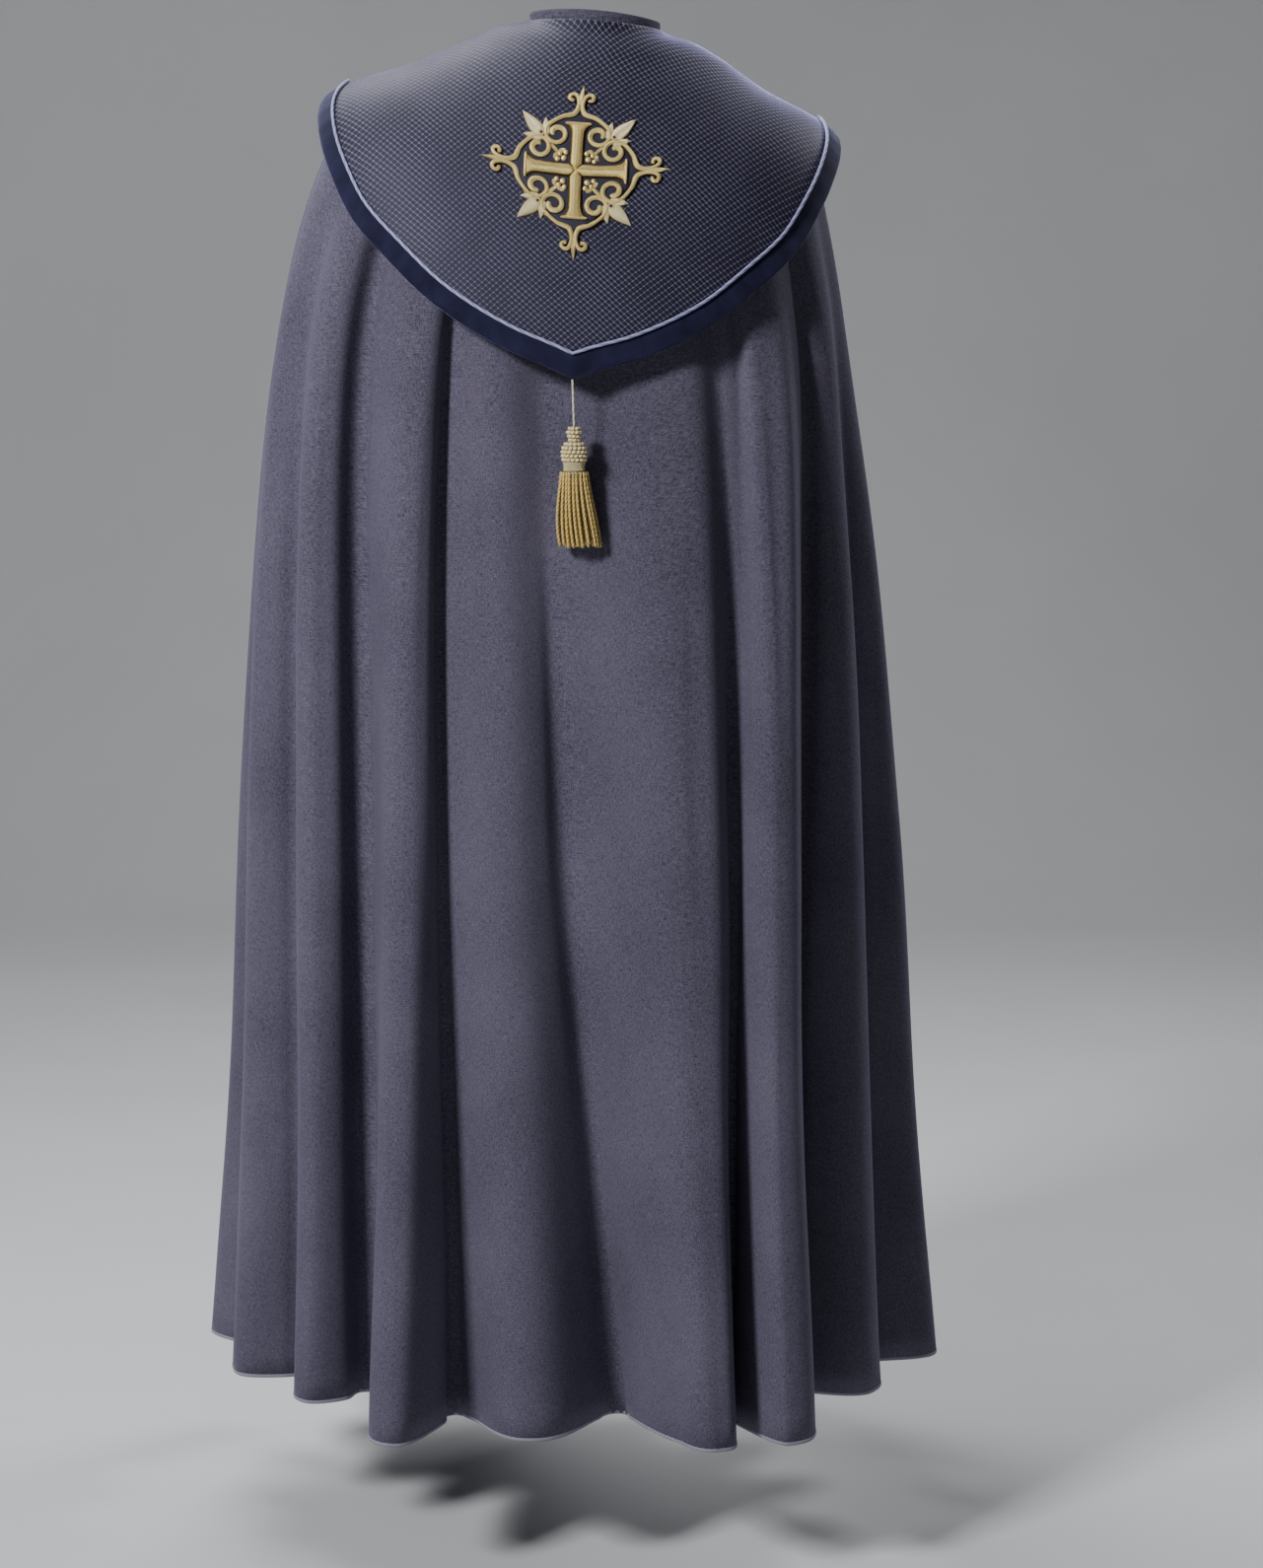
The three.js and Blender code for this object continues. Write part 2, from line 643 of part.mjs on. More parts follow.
function spiralPoints(spiral, inward) {
  const points = [];
  for (let i = 0; i < spiral.points; i += 1) {
    const t = i / (spiral.points - 1);
    const turn = THREE.MathUtils.degToRad(spiral.from + (spiral.to - spiral.from) * t);
    const share = inward ? 1 - t : t;
    const r = spiral.inner + (spiral.outer - spiral.inner) * share ** 0.8;
    points.push(new THREE.Vector3(spiral.x + r * Math.cos(turn), spiral.y + r * Math.sin(turn), 0));
  }
  return points;
}

const STRAND_CURVE = new THREE.CatmullRomCurve3([
  ...spiralPoints(CURL, false),
  ...OGEE.map((point) => new THREE.Vector3(point.x, point.y, 0)),
  ...spiralPoints(SCROLL, true),
], false, 'centripetal');

function strandWidth(s) {
  const scroll = Math.exp(-(((s - 0.86) / 0.1) ** 2));
  return STRAND_WIDTH * (0.9 + 0.35 * scroll);
}

function emblemStrand(quarter, mirrored) {
  const point = (s) => {
    const flat = STRAND_CURVE.getPointAt(s);
    return turned(flat.x, flat.y, quarter, mirrored);
  };
  return emblemRidge(STRAND_STEPS, point, strandWidth, STRAND_HEIGHT);
}

function emblemLeaf(leaf, quarter) {
  const point = (s) => {
    const x = leaf.x0 + (leaf.x1 - leaf.x0) * s;
    const y = leaf.y0 + (leaf.y1 - leaf.y0) * s;
    return turned(x, y, quarter, false);
  };
  const width = (s) => leaf.width * (0.16 + 0.84 * Math.sin(Math.PI * (0.1 + 0.86 * s ** 0.9)));
  return emblemRidge(LEAF_STEPS, point, width, LEAF_HEIGHT);
}

function emblemFrame() {
  const solids = [];
  for (let quarter = 0; quarter < 4; quarter += 1) {
    solids.push(emblemStrand(quarter, false), emblemStrand(quarter, true));
    LEAVES.forEach((leaf) => solids.push(emblemLeaf(leaf, quarter)));
  }
  return joined(solids);
}

// The cord and the tassel

const HOOD_TIP = hoodRaised(0, hoodEdgeLevel(0), BAND_WALL / 2 - HOOD_WALL);
const CORD_TOP = HOOD_TIP.clone().add(new THREE.Vector3(0, 0, -SEAM_GAP - 0.2));
const CORD_END = CORD_TOP.clone().add(new THREE.Vector3(1.5, -0.5, -CORD_LENGTH));

function tasselCord() {
  const section = new THREE.Shape();
  for (let i = 0; i < CORD_SIDES; i += 1) {
    const turn = 2 * Math.PI * i / CORD_SIDES;
    const corner = [CORD_RADIUS * Math.cos(turn), CORD_RADIUS * Math.sin(turn)];
    if (i === 0) section.moveTo(...corner);
    else section.lineTo(...corner);
  }
  section.closePath();
  const path = new THREE.LineCurve3(CORD_TOP, CORD_END);
  return new THREE.ExtrudeGeometry(section, { steps: CORD_STEPS, extrudePath: path });
}

// The head is turned round about its own axis, and pressed a little flat against the cloth.
function tasselHead() {
  const profile = [new THREE.Vector2(0, 0)];
  TASSEL_HEAD.forEach((ring) => profile.push(new THREE.Vector2(ring.radius, -ring.below)));
  profile.push(new THREE.Vector2(0, -TASSEL_HEAD.at(-1).below));
  const top = CORD_END.clone().add(new THREE.Vector3(0, 0, -SEAM_GAP));
  const turnedHead = new THREE.LatheGeometry(profile, HEAD_SIDES);
  return bend(turnedHead, (p) => {
    const flatten = 1 - 0.25 * smooth(-p.y / 24);
    return new THREE.Vector3(top.x + p.x, top.y + p.z * flatten, top.z + p.y);
  });
}

function skirtStrand(ring, number) {
  const foot = TASSEL_HEAD.at(-1).below;
  const turn = 2 * Math.PI * (number + 0.5 * (ring.count % 2)) / ring.count;
  const start = CORD_END.clone().add(new THREE.Vector3(0, 0, -SEAM_GAP - foot + 3));
  const length = SKIRT_LENGTH * (1 + 0.03 * Math.sin(5 * number + ring.count));
  const frame = (s) => {
    const r = ring.root + (ring.end - ring.root) * (0.25 * s + 0.75 * smooth(s));
    const centre = start.clone();
    centre.x += r * Math.cos(turn) + SKIRT_LEAN * s * s;
    centre.y += r * Math.sin(turn) * SKIRT_FLATNESS;
    centre.z -= length * s;
    return { centre, across: new THREE.Vector3(1, 0, 0), up: new THREE.Vector3(0, 1, 0) };
  };
  const size = () => ({ width: STRAND_RADIUS, height: STRAND_RADIUS });
  return rod(3, 2, frame, size);
}

function tassel() {
  const solids = [tasselHead()];
  SKIRT_RINGS.forEach((ring) => {
    for (let i = 0; i < ring.count; i += 1) solids.push(skirtStrand(ring, i));
  });
  return joined(solids);
}

// The whole cope

function piece(name, geometry, look) {
  const mesh = new THREE.Mesh(geometry, new THREE.MeshStandardMaterial(look));
  mesh.name = name;
  return mesh;
}

const cope = new THREE.Group();
cope.name = 'cope';
cope.add(piece('cape_cloth', capeWall(), SLATE));
cope.add(piece('hood_panel', hoodPanelWall(), NAVY));
cope.add(piece('hood_band', hoodBandWall(), VELVET));
cope.add(piece('hood_piping', hoodPipingTube(), PERIWINKLE));
cope.add(piece('neckband', neckbandWall(), SLATE));
cope.add(piece('clasp_band', claspWall(), SLATE));
cope.add(piece('emblem_ground', emblemGround(), DARK_GROUND));
cope.add(piece('emblem_cross', emblemCross(), GOLD));
cope.add(piece('emblem_frame', emblemFrame(), GOLD));
cope.add(piece('tassel_cord', tasselCord(), GOLD));
cope.add(piece('tassel', tassel(), GOLD));

export default cope;
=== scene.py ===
"""The looks of a cope: cape cloth, jacquard hood, velvet border, gold embroidery and tassel."""

import math

import bmesh
import bpy
import numpy as np
from mathutils import Matrix, Vector


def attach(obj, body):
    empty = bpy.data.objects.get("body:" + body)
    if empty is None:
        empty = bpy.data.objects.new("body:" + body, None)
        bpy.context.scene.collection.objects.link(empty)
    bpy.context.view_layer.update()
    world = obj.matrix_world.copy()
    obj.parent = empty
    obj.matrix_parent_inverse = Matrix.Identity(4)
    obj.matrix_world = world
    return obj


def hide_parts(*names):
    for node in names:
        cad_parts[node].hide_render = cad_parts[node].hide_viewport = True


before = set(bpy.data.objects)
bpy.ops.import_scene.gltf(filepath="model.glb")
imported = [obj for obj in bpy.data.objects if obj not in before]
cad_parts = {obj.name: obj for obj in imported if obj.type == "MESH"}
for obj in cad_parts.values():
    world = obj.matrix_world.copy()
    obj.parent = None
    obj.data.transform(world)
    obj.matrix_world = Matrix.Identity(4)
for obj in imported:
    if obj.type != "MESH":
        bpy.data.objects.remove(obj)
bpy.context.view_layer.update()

bl_info = {
    "name": "Cope",
    "version": (1, 0, 0),
    "blender": (4, 5, 0),
    "location": "3D View > Sidebar > Cope",
    "description": "Builds a worn cope with its hood, embroidery and tassel",
    "category": "Object",
}

MM = 0.001

# Lengths are in millimetres, and places in Blender in metres.

# The cape's cross-sections from the neck down to the hem.
CAPE = {
    "half": (70, 96, 166, 234, 268, 296, 318, 334, 346, 364),
    "back": (60, 74, 106, 132, 150, 168, 196, 226, 252, 280),
    "front": (52, 74, 104, 126, 146, 172, 206, 240, 268, 294),
    "square": (0, 0, 0.02, 0.04, 0.05, 0.07, 0.08, 0.09, 0.1, 0.1),
    "back_z": (28, -2, -62, -132, -215, -335, -540, -820, -1110, -1402),
    "side_z": (24, 12, -24, -70, -156, -300, -515, -800, -1095, -1385),
    "front_z": (-22, -50, -104, -170, -250, -360, -550, -810, -1100, -1390),
}
CAPE_LEVELS = 9

# The hood's cross-sections from the neck down to the level of its point.
HOOD = {
    "half": (72, 104, 178, 268, 291, 316),
    "back": (61, 78, 114, 148, 178, 202),
    "front": (54, 78, 112, 140, 168, 190),
    "square": (0, 0, 0.02, 0.03, 0.03, 0.03),
    "back_z": (29, 4, -58, -140, -232, -331),
    "side_z": (25, 18, -21, -66, -150, -262),
    "front_z": (-20, -40, -90, -150, -240, -330),
}
HOOD_EDGE_ANGLES = (0, 5, 13, 27, 38, 50, 60, 70, 82, 93)
HOOD_EDGE_LEVELS = (5.0, 4.9, 4.78, 4.52, 4.26, 4.0, 3.68, 3.36, 3.08, 2.9)

# The crests and valleys of the cape's folds, from the left front edge round the back.
# name, angle at elbow, hip, knee and hem, rise at elbow, hip and hem, tightness
FOLDS = (
    ("left_front_edge", -168, -162, -161, -160, 0, 0, 0, 1.2),
    ("v1", -157, -151, -150, -149, -6, -20, -34, 1.2),
    ("r1", -144, -140, -139, -138, 6, 18, 32, 1.3),
    ("v2", -130, -129, -128, -128, -7, -24, -44, 1.3),
    ("r2", -119, -118, -117, -116, 7, 16, 26, 1.2),
    ("v3", -108, -107, -106, -105, -7, -22, -46, 1.2),
    ("left_side", -96, -95, -95, -95, 6, 14, 26, 1.2),
    ("v4", -84, -82, -81, -81, -4, -8, -20, 1.2),
    ("a", -71, -68, -67, -67, 5, 4, -2, 1.3),
    ("v5", -58, -55, -54, -55, -6, -26, -62, 1.2),
    ("b", -49, -45, -44, -45, 7, 2, -24, 1.2),
    ("v6", -40, -35.5, -35.5, -36, -8, -30, -86, 1.1),
    ("c", -26.5, -25, -24.5, -24, 12, 26, 50, 2.2),
    ("v7", -21.5, -19.5, -18.8, -18.2, -6, -10, -52, 1.1),
    ("d", -11.5, -8, -6, -4.5, 4, 8, 16, 1.2),
    ("v8", -3, 2, 6.5, 11, -5, -14, -62, 1.15),
    ("e", 20.5, 22, 22.4, 22.1, 9, 22, 64, 2.2),
    ("v9", 31.5, 31, 29.5, 28, -6, -8, -22, 1.8),
    ("f", 39.5, 36.5, 34, 32.2, 10, 32, 70, 1.5),
    ("v10", 54, 47, 45, 44, -8, -28, -62, 1.2),
    ("g", 64, 60, 57.5, 56, 4, 6, 6, 1.2),
    ("v11", 74, 71, 70, 69, -4, -12, -28, 1.2),
    ("right_side", 86, 84, 82, 81, 8, 30, 46, 1.2),
    ("v12", 97, 95, 94, 94, -6, -22, -40, 1.2),
    ("r3", 108, 106, 106, 106, 7, 18, 30, 1.2),
    ("v13", 118, 117, 117, 117, -7, -24, -46, 1.3),
    ("r4", 129, 128, 128, 128, 6, 18, 30, 1.3),
    ("v14", 143, 139, 139, 139, -7, -22, -42, 1.2),
    ("r5", 155, 150, 150, 149, 4, 14, 22, 1.2),
    ("right_front_edge", 168, 162, 161, 160, 0, 0, 0, 1.2),
)
FOLD_LEVELS = (3.1, 5, 7, 8, 9)
KNEE_SHARE = 0.42
NECK_SPREAD = 0.93
FLANKS = len(FOLDS) - 1

# Creases drawn in the cape. place counts the fold rows, and may fall between them.
# place at top and foot, level at top and foot, half width, depth (above 0 sinks), sway, bend
CREASES = (
    (14.9, 14.75, 5.6, 7.5, 7, 1.6, 0.03, 3.1),
    (15.25, 15.0, 6.9, 7.8, 9, 1.1, 0.02, 2.0),
    (15.66, 15.62, 7.2, 9.0, 15, 3.4, 0.02, 1.4),
    (15.4, 15.36, 6.2, 8.9, 22, -1.8, 0.03, 1.1),
    (16.3, 16.25, 5.4, 7.6, 14, 1.8, 0.04, 1.8),
    (13.7, 13.78, 5.2, 6.9, 11, 1.5, 0.03, 1.5),
    (13.5, 13.4, 6.6, 8.7, 13, -1.6, 0.03, 1.9),
    (12.5, 12.42, 5.0, 7.4, 9, 2.0, 0.03, 2.4),
    (11.6, 11.75, 5.6, 8.9, 12, -2.6, 0.03, 1.4),
    (11.3, 11.35, 4.4, 6.6, 9, 1.8, 0.04, 2.6),
    (10.4, 10.3, 4.6, 7.8, 8, 1.7, 0.04, 2.0),
    (9.45, 9.6, 5.3, 8.8, 9, 2.0, 0.03, 1.3),
    (8.5, 8.4, 4.6, 7.2, 10, 1.8, 0.05, 1.7),
    (7.5, 7.7, 5.0, 8.7, 13, 2.2, 0.04, 1.2),
    (6.4, 6.3, 4.4, 6.9, 12, 2.1, 0.05, 1.9),
    (5.5, 5.4, 5.4, 8.6, 13, -2.1, 0.04, 1.6),
    (4.5, 4.6, 4.6, 7.5, 10, 2.0, 0.05, 1.5),
    (3.4, 3.5, 5.0, 8.2, 12, 1.9, 0.04, 2.1),
    (2.5, 2.4, 4.8, 7.9, 11, 2.2, 0.05, 1.3),
    (1.5, 1.6, 5.4, 8.6, 12, -2.0, 0.04, 1.7),
    (0.5, 0.45, 4.6, 7.0, 10, 1.6, 0.04, 1.9),
    (17.5, 17.6, 4.8, 7.9, 8, 1.5, 0.03, 1.6),
    (18.45, 18.4, 5.5, 8.8, 11, 2.0, 0.03, 1.4),
    (18.75, 18.8, 4.3, 6.3, 8, 1.6, 0.04, 2.3),
    (19.5, 19.4, 5.0, 7.6, 10, -2.2, 0.04, 1.5),
    (20.5, 20.55, 4.4, 6.8, 10, 1.9, 0.04, 2.0),
    (21.5, 21.4, 5.6, 8.8, 14, 2.1, 0.04, 1.2),
    (22.5, 22.6, 4.5, 7.3, 11, 1.9, 0.05, 1.8),
    (23.5, 23.4, 5.2, 8.4, 12, -2.2, 0.04, 1.5),
    (24.5, 24.5, 4.6, 7.6, 10, 2.1, 0.05, 1.9),
    (25.5, 25.6, 5.4, 8.7, 13, 1.9, 0.04, 1.3),
    (26.5, 26.4, 4.8, 7.4, 11, -1.9, 0.05, 1.6),
    (27.4, 27.5, 5.0, 8.3, 12, 2.1, 0.04, 2.0),
    (28.5, 28.5, 4.6, 7.2, 10, 1.7, 0.04, 1.8),
    (9.0, 9.0, 4.9, 9.0, 12, 9.0, 0.02, 1.4),
    (10.96, 10.84, 2.2, 9.0, 14, 18.0, 0.02, 1.2),
    (12.93, 12.93, 3.4, 9.0, 9, 9.0, 0.02, 1.6),
    (15.0, 15.0, 5.6, 9.0, 14, 8.0, 0.02, 1.3),
    (17.72, 17.05, 2.6, 7.6, 10, 10.0, 0.02, 1.4),
    (17.0, 17.0, 5.6, 9.0, 10, 7.0, 0.02, 1.5),
    (18.45, 18.15, 4.3, 7.0, 13, -5.0, 0.02, 1.4),
    (19.1, 19.0, 3.2, 9.0, 10, 11.0, 0.02, 1.3),
    (21.0, 21.0, 4.6, 9.0, 11, 5.0, 0.02, 1.5),
)

# How the worn cope leans: lower on one side above the elbows, and swayed to the other.
TILT = 0.075
TILT_FULL_ABOVE = -350
TILT_GONE_BELOW = -1200
CAPE_SWAY = (38, 130)
HOOD_SWAY = (21, 60)

# The cape's grid, its flat cut, and the turnings at its hem and fronts.
CAPE_COLUMNS = 16 * FLANKS
CAPE_ROWS = 100
ROW_SPACING = 0.92
LAST_LEVEL_HEIGHT = CAPE["back_z"][-2] - CAPE["back_z"][-1]
TURNING_WALL = 1.0
TURNING_GAP = 0.15
FACING_REACH = 0.16
NECK_RADIUS = 95
GRAIN_SPREAD = 170

# The hood's wall, how many degrees it reaches round, and how it sits on the cape.
HOOD_WALL = 2.5
HOOD_REACH = 92
HOOD_NECK_REACH = 90
HOOD_SEAT = 0.5
HOOD_SEAT_LEVELS = 1.2
BAND_WALL = 3.2
SEAM_GAP = 0.3
NECKBAND_REACH = 153
NECKBAND_RISE = (12, -6)
NECKBAND_INSET = 2.1
NECKBAND_WALL = 3.2
CLASP_SIZE = (156, 52, 2.4)
CLASP_LEVEL = 3.6
CLASP_LIFT = 1.2

# The emblem: its drop below the neck edge, its ground and its cross.
EMBLEM_DROP = 176
GROUND_LIFT = 0.6
GROUND_WALL = 0.9
GROUND_TURNS = (0, 10, 20, 30, 38, 45)
GROUND_REACHES = (65, 60, 56, 53, 49, 42)
CROSS_ARM = 52
CROSS_HALF_WIDTH = 7
CROSS_END_HALF_WIDTH = 13.6
CROSS_FLARE = 10
CROSS_CAP = 3.4
CROSS_HEIGHT = 3.5
CROSS_FOOT = 1.4
STRAND_FOOT = 0.2

# One strand of the frame: the curl by the point, the ogee, and the scroll.
# middle, inner and outer radius, first and last turn, number of points
CURL = (8.6, 79, 1.9, 4.6, -150, 165, 6)
OGEE = ((1.9, 70.5), (5.2, 61.5), (16.5, 57), (27, 49))
SCROLL = (20.8, 37.8, 3.4, 11.8, 28, -395, 13)
STRAND_SPOTS = (0, 0.08, 0.2, 0.3, 0.42, 0.55, 0.72, 0.88, 0.96, 1)
STRAND_WIDTHS = (5.2, 5.0, 5.2, 6.6, 5.0, 5.0, 5.8, 7.2, 7.4, 6.0)
STRAND_HEIGHT = 3.6

# Leaves of one corner and one point: start, end, width and height.
LEAVES = (
    (0, 69, 0, 94, 6.8, 3.2),
    (34.5, 34.5, 57, 57, 15.5, 3.6),
    (35.5, 30.5, 54.5, 33.5, 9.6, 3.0),
    (30.5, 35.5, 33.5, 54.5, 9.6, 3.0),
    (29.5, 29.5, 11.0, 11.0, 5.0, 2.8),
    (19.5, 17.5, 22.8, 9.4, 5.6, 3.0),
    (17.5, 19.5, 9.4, 22.8, 5.6, 3.0),
    (26.5, 50.5, 31.5, 46.2, 4.6, 3.3),
    (50.5, 26.5, 46.2, 31.5, 4.6, 3.3),
)
# Round lobes of the bud in each corner: x, y, radius.
LOBES = ((12.2, 12.2, 3.2), (10.4, 18.6, 2.7), (18.6, 10.4, 2.7), (16.4, 16.4, 2.4))
BEAD_PLACE = 36.6

CORD_RADIUS = 1.1
CORD_LENGTH = 46
CORD_INSIDE = 74
CORD_COLOUR = (0.83, 0.79, 0.59)
# The tassel's head from its top down: how far below the cord, and its radius.
HEAD_DROPS = (0, 2.5, 7, 11.5, 13.5, 17, 24, 33, 37, 41, 44, 48)
HEAD_RADII = (2.4, 6, 7.2, 5.6, 5, 9.4, 12.6, 12.2, 10.4, 9.8, 10.4, 13.2)
HEAD_HEIGHT = 48
HEAD_LINING = -1.6
LOOP_FIRST_ROW = 2.2
LOOP_ROW_GAP = 3.9
LOOP_ROWS = 9
LOOP_WIDTH = 5.0
LOOP_HALF_SIZES = (2.4, 1.9, 1.65)
LOOP_SEAT = -0.9
WHIPPING_DROP = 36.4
WHIPPING_GAP = 1.25
WHIPPING_TURNS = 7
WHIPPING_RADIUS = 0.72
# The skirt's rings of strands: how many, and the radius at the root and at the end.
SKIRT_RINGS = ((23, 13.2, 20), (16, 9.0, 15), (10, 5.2, 9.5), (5, 2.0, 4.0))
SKIRT_TOP = 45.5
SKIRT_LENGTH = 74
SKIRT_LEAN = 6
SKIRT_FLATNESS = 0.52
STRAND_RADIUS = 1.65

# The camera: its place in metres, degrees down, and lens and sensor in millimetres.
CAMERA_PLACE = (0.038, -3.600, -0.226)
CAMERA_PITCH = 8.6
CAMERA_LENS = 77.66
CAMERA_SENSOR = 36

# Lights: name, place, aim, size and watts.
LIGHTS = (
    ("key", (-2.6, -2.8, 1.7), (0.0, 0.0, -0.55), 0.8, 210),
    ("fill", (2.9, -2.2, 0.6), (0.0, 0.0, -0.6), 1.6, 2),
    ("rim", (1.9, 1.3, 1.2), (0.1, 0.0, -0.4), 0.8, 40),
    ("overhead", (-0.8, 0.9, 1.7), (0.0, 0.0, -0.1), 1.5, 62),
)
SKY_COLOUR = (0.80, 0.84, 0.92, 1)
SKY_STRENGTH = 0.02

# The floor's sheet, in metres. It lies flat up to one share of its length, curves up to the
# next, and stands as the backdrop from there.
FLOOR_Z = -1.56
FLOOR_WIDTH = 16
FLOOR_START = -5
FLOOR_LENGTH = 15
FLAT_SHARE = 0.55
CURVE_SHARE = 0.25
CURVE_RADIUS = 1.4
BACKDROP_LENGTH = 12


# Curves and surfaces of the cope


def smooth(value):
    """A soft step from 0 to 1."""
    t = np.clip(value, 0, 1)
    return t * t * (3 - 2 * t)


def curve_through(knots, values, at):
    """A smooth curve through values at rising knots; values may hold a row for each place."""
    knots = np.asarray(knots, float)
    values = np.asarray(values, float)
    at = np.asarray(at, float)
    last = len(knots) - 1
    if values.ndim == 1:
        values = np.broadcast_to(values, at.shape + values.shape)

    def pick(k):
        return np.take_along_axis(values, k[..., None], -1)[..., 0]

    i = np.asarray(np.clip(np.searchsorted(knots, at) - 1, 0, last - 1))
    before = np.maximum(i - 1, 0)
    after = np.minimum(i + 2, last)
    span = knots[i + 1] - knots[i]
    f = (at - knots[i]) / span
    slope_a = (pick(i + 1) - pick(before)) / (knots[i + 1] - knots[before])
    slope_b = (pick(after) - pick(i)) / (knots[after] - knots[i])
    f2, f3 = f * f, f * f * f
    return (
        (2 * f3 - 3 * f2 + 1) * pick(i)
        + (f3 - 2 * f2 + f) * span * slope_a
        + (3 * f2 - 2 * f3) * pick(i + 1)
        + (f3 - f2) * span * slope_b
    )


def point(x, y, z):
    """Points, one for each place in the longest of x, y and z."""
    return np.stack(np.broadcast_arrays(x, y, z), -1).astype(float)


def unit(vectors):
    """The same directions, each one long."""
    return vectors / np.linalg.norm(vectors, axis=-1, keepdims=True)


def run_along(points):
    """How far along their line each of the points lies."""
    return np.concatenate([[0], np.cumsum(np.linalg.norm(np.diff(points, axis=0), axis=1))])


def section_point(sections, angle, level, out):
    """On the cross-sections, at degrees from the centre back and a level, moved out."""
    levels = np.arange(len(sections["half"]))

    def read(key):
        return curve_through(levels, sections[key], level)

    a = np.radians(angle)
    s, c = np.sin(a), np.cos(a)
    half = read("half")
    depth = np.where(c > 0, read("back"), read("front"))
    end_z = np.where(c > 0, read("back_z"), read("front_z"))
    grow = 1 + read("square") * np.sin(2 * a) ** 2
    length = np.hypot(s / half, c / depth)
    return point(
        half * s * grow + out * s / half / length,
        -depth * c * grow - out * c / depth / length,
        end_z * c * c + read("side_z") * s * s,
    )


def worn(points, sway):
    """The cope hangs a little lower on the wearer's right, and a little to the left."""
    x, y, z = np.moveaxis(points, -1, 0)
    share = smooth((z - TILT_GONE_BELOW) / (TILT_FULL_ABOVE - TILT_GONE_BELOW))
    shift = sway[0] * (1 - np.exp(np.minimum(z, 0) / sway[1]))
    return point(x - shift, y, z - TILT * share * x)


FOLD_ANGLES = np.array([[row[1], row[1], row[2], row[3], row[4]] for row in FOLDS], float)
FOLD_RISES = np.array(
    [[0, row[5], row[6], row[6] + (row[7] - row[6]) * KNEE_SHARE, row[7]] for row in FOLDS], float
)
FOLD_TIGHTNESS = np.array([row[8] for row in FOLDS])


def fold_at(row, level):
    """The angle and the rise of a crest or valley at a level."""
    at = np.clip(level, FOLD_LEVELS[0], CAPE_LEVELS)
    spread = 1 - (1 - NECK_SPREAD) * (1 - smooth(level / FOLD_LEVELS[0]))
    angle = curve_through(FOLD_LEVELS, FOLD_ANGLES[row], at) * spread
    return angle, curve_through(FOLD_LEVELS, FOLD_RISES[row], at)


def cape_point(place, level):
    """place runs from 0 at the left front edge to FLANKS at the right one."""
    place, level = np.broadcast_arrays(np.asarray(place, float), np.asarray(level, float))
    row = np.clip(np.floor(place), 0, FLANKS - 1).astype(int)
    f = np.clip(place - row, 0, 1)
    angle_a, rise_a = fold_at(row, level)
    angle_b, rise_b = fold_at(row + 1, level)
    first_is_crest = FOLD_RISES[row, -1] > FOLD_RISES[row + 1, -1]
    away = np.where(first_is_crest, f, 1 - f)
    fall = np.sin(np.pi / 2 * away ** FOLD_TIGHTNESS[row]) ** 2
    crest = np.where(first_is_crest, rise_a, rise_b)
    valley = np.where(first_is_crest, rise_b, rise_a)
    rise = crest + (valley - crest) * fall
    angle = angle_a + (angle_b - angle_a) * f
    return worn(section_point(CAPE, angle, level, rise), CAPE_SWAY)


def normal_of(surface, u, v, du, dv):
    """The outward direction of a surface, from small steps across and down it."""
    across = surface(u + du, v) - surface(u - du, v)
    down = surface(u, v + dv) - surface(u, v - dv)
    return unit(np.cross(down, across))


def cape_raised(place, level, height):
    """A height above the folded cape."""
    normal = normal_of(cape_point, place, level, 0.04, 0.02)
    return cape_point(place, level) + normal * np.asarray(height)[..., None]


def crease_relief(place, level):
    """How far the creases raise the cape's cloth, in millimetres."""
    reach = cape_point(place + 0.02, level) - cape_point(place - 0.02, level)
    scale = np.linalg.norm(reach, axis=-1) / 0.04
    relief = np.zeros_like(place)
    for top_place, foot_place, top, foot, half_width, depth, sway, bend in CREASES:
        along = (level - top) / (foot - top)
        middle = top_place + (foot_place - top_place) * along
        middle = middle + sway * np.sin(bend * level + 3 * top_place)
        grow = smooth(along / 0.45) * smooth((1 - along) / 0.4 if foot < 8.9 else 2 - along)
        width = half_width * (0.7 + 0.5 * np.clip(along, 0, 1))
        away = (place - middle) * scale / width
        relief -= depth * grow * np.exp(-away * away)
    soft = smooth((level - 3.4) / 1.5)
    relief += 0.9 * soft * np.sin(1.9 * place + 1.3 * level) * np.sin(2.6 * level - 0.8 * place)
    hem = smooth((level - 8.86) / 0.14)
    return relief + 0.7 * hem * np.sin(6.3 * place) * np.sin(2.2 * place + 1)


def cape_smooth_point(angle, level):
    """On the cape as it would lie without its folds."""
    return worn(section_point(CAPE, angle, level, 0), CAPE_SWAY)


def hood_point(angle, level):
    """On the hood, which is seated on the cape near the neck and hangs free below."""
    free = worn(section_point(HOOD, angle, level, 0), HOOD_SWAY)
    share = 1 - smooth(np.asarray(level, float) / HOOD_SEAT_LEVELS)
    seat = cape_smooth_point(angle, level)
    seat = seat + normal_of(cape_smooth_point, angle, level, 0.5, 0.02) * (HOOD_SEAT + HOOD_WALL)
    return free + (seat - free) * share[..., None]


def hood_normal(angle, level):
    return normal_of(hood_point, angle, level, 0.5, 0.02)


def hood_raised(angle, level, height):
    """A height above the hood."""
    lift = np.asarray(height, float)[..., None]
    return hood_point(angle, level) + hood_normal(angle, level) * lift


def hood_edge_level(angle):
    """How far down the hood's edge is at an angle."""
    return curve_through(HOOD_EDGE_ANGLES, HOOD_EDGE_LEVELS, np.abs(angle))


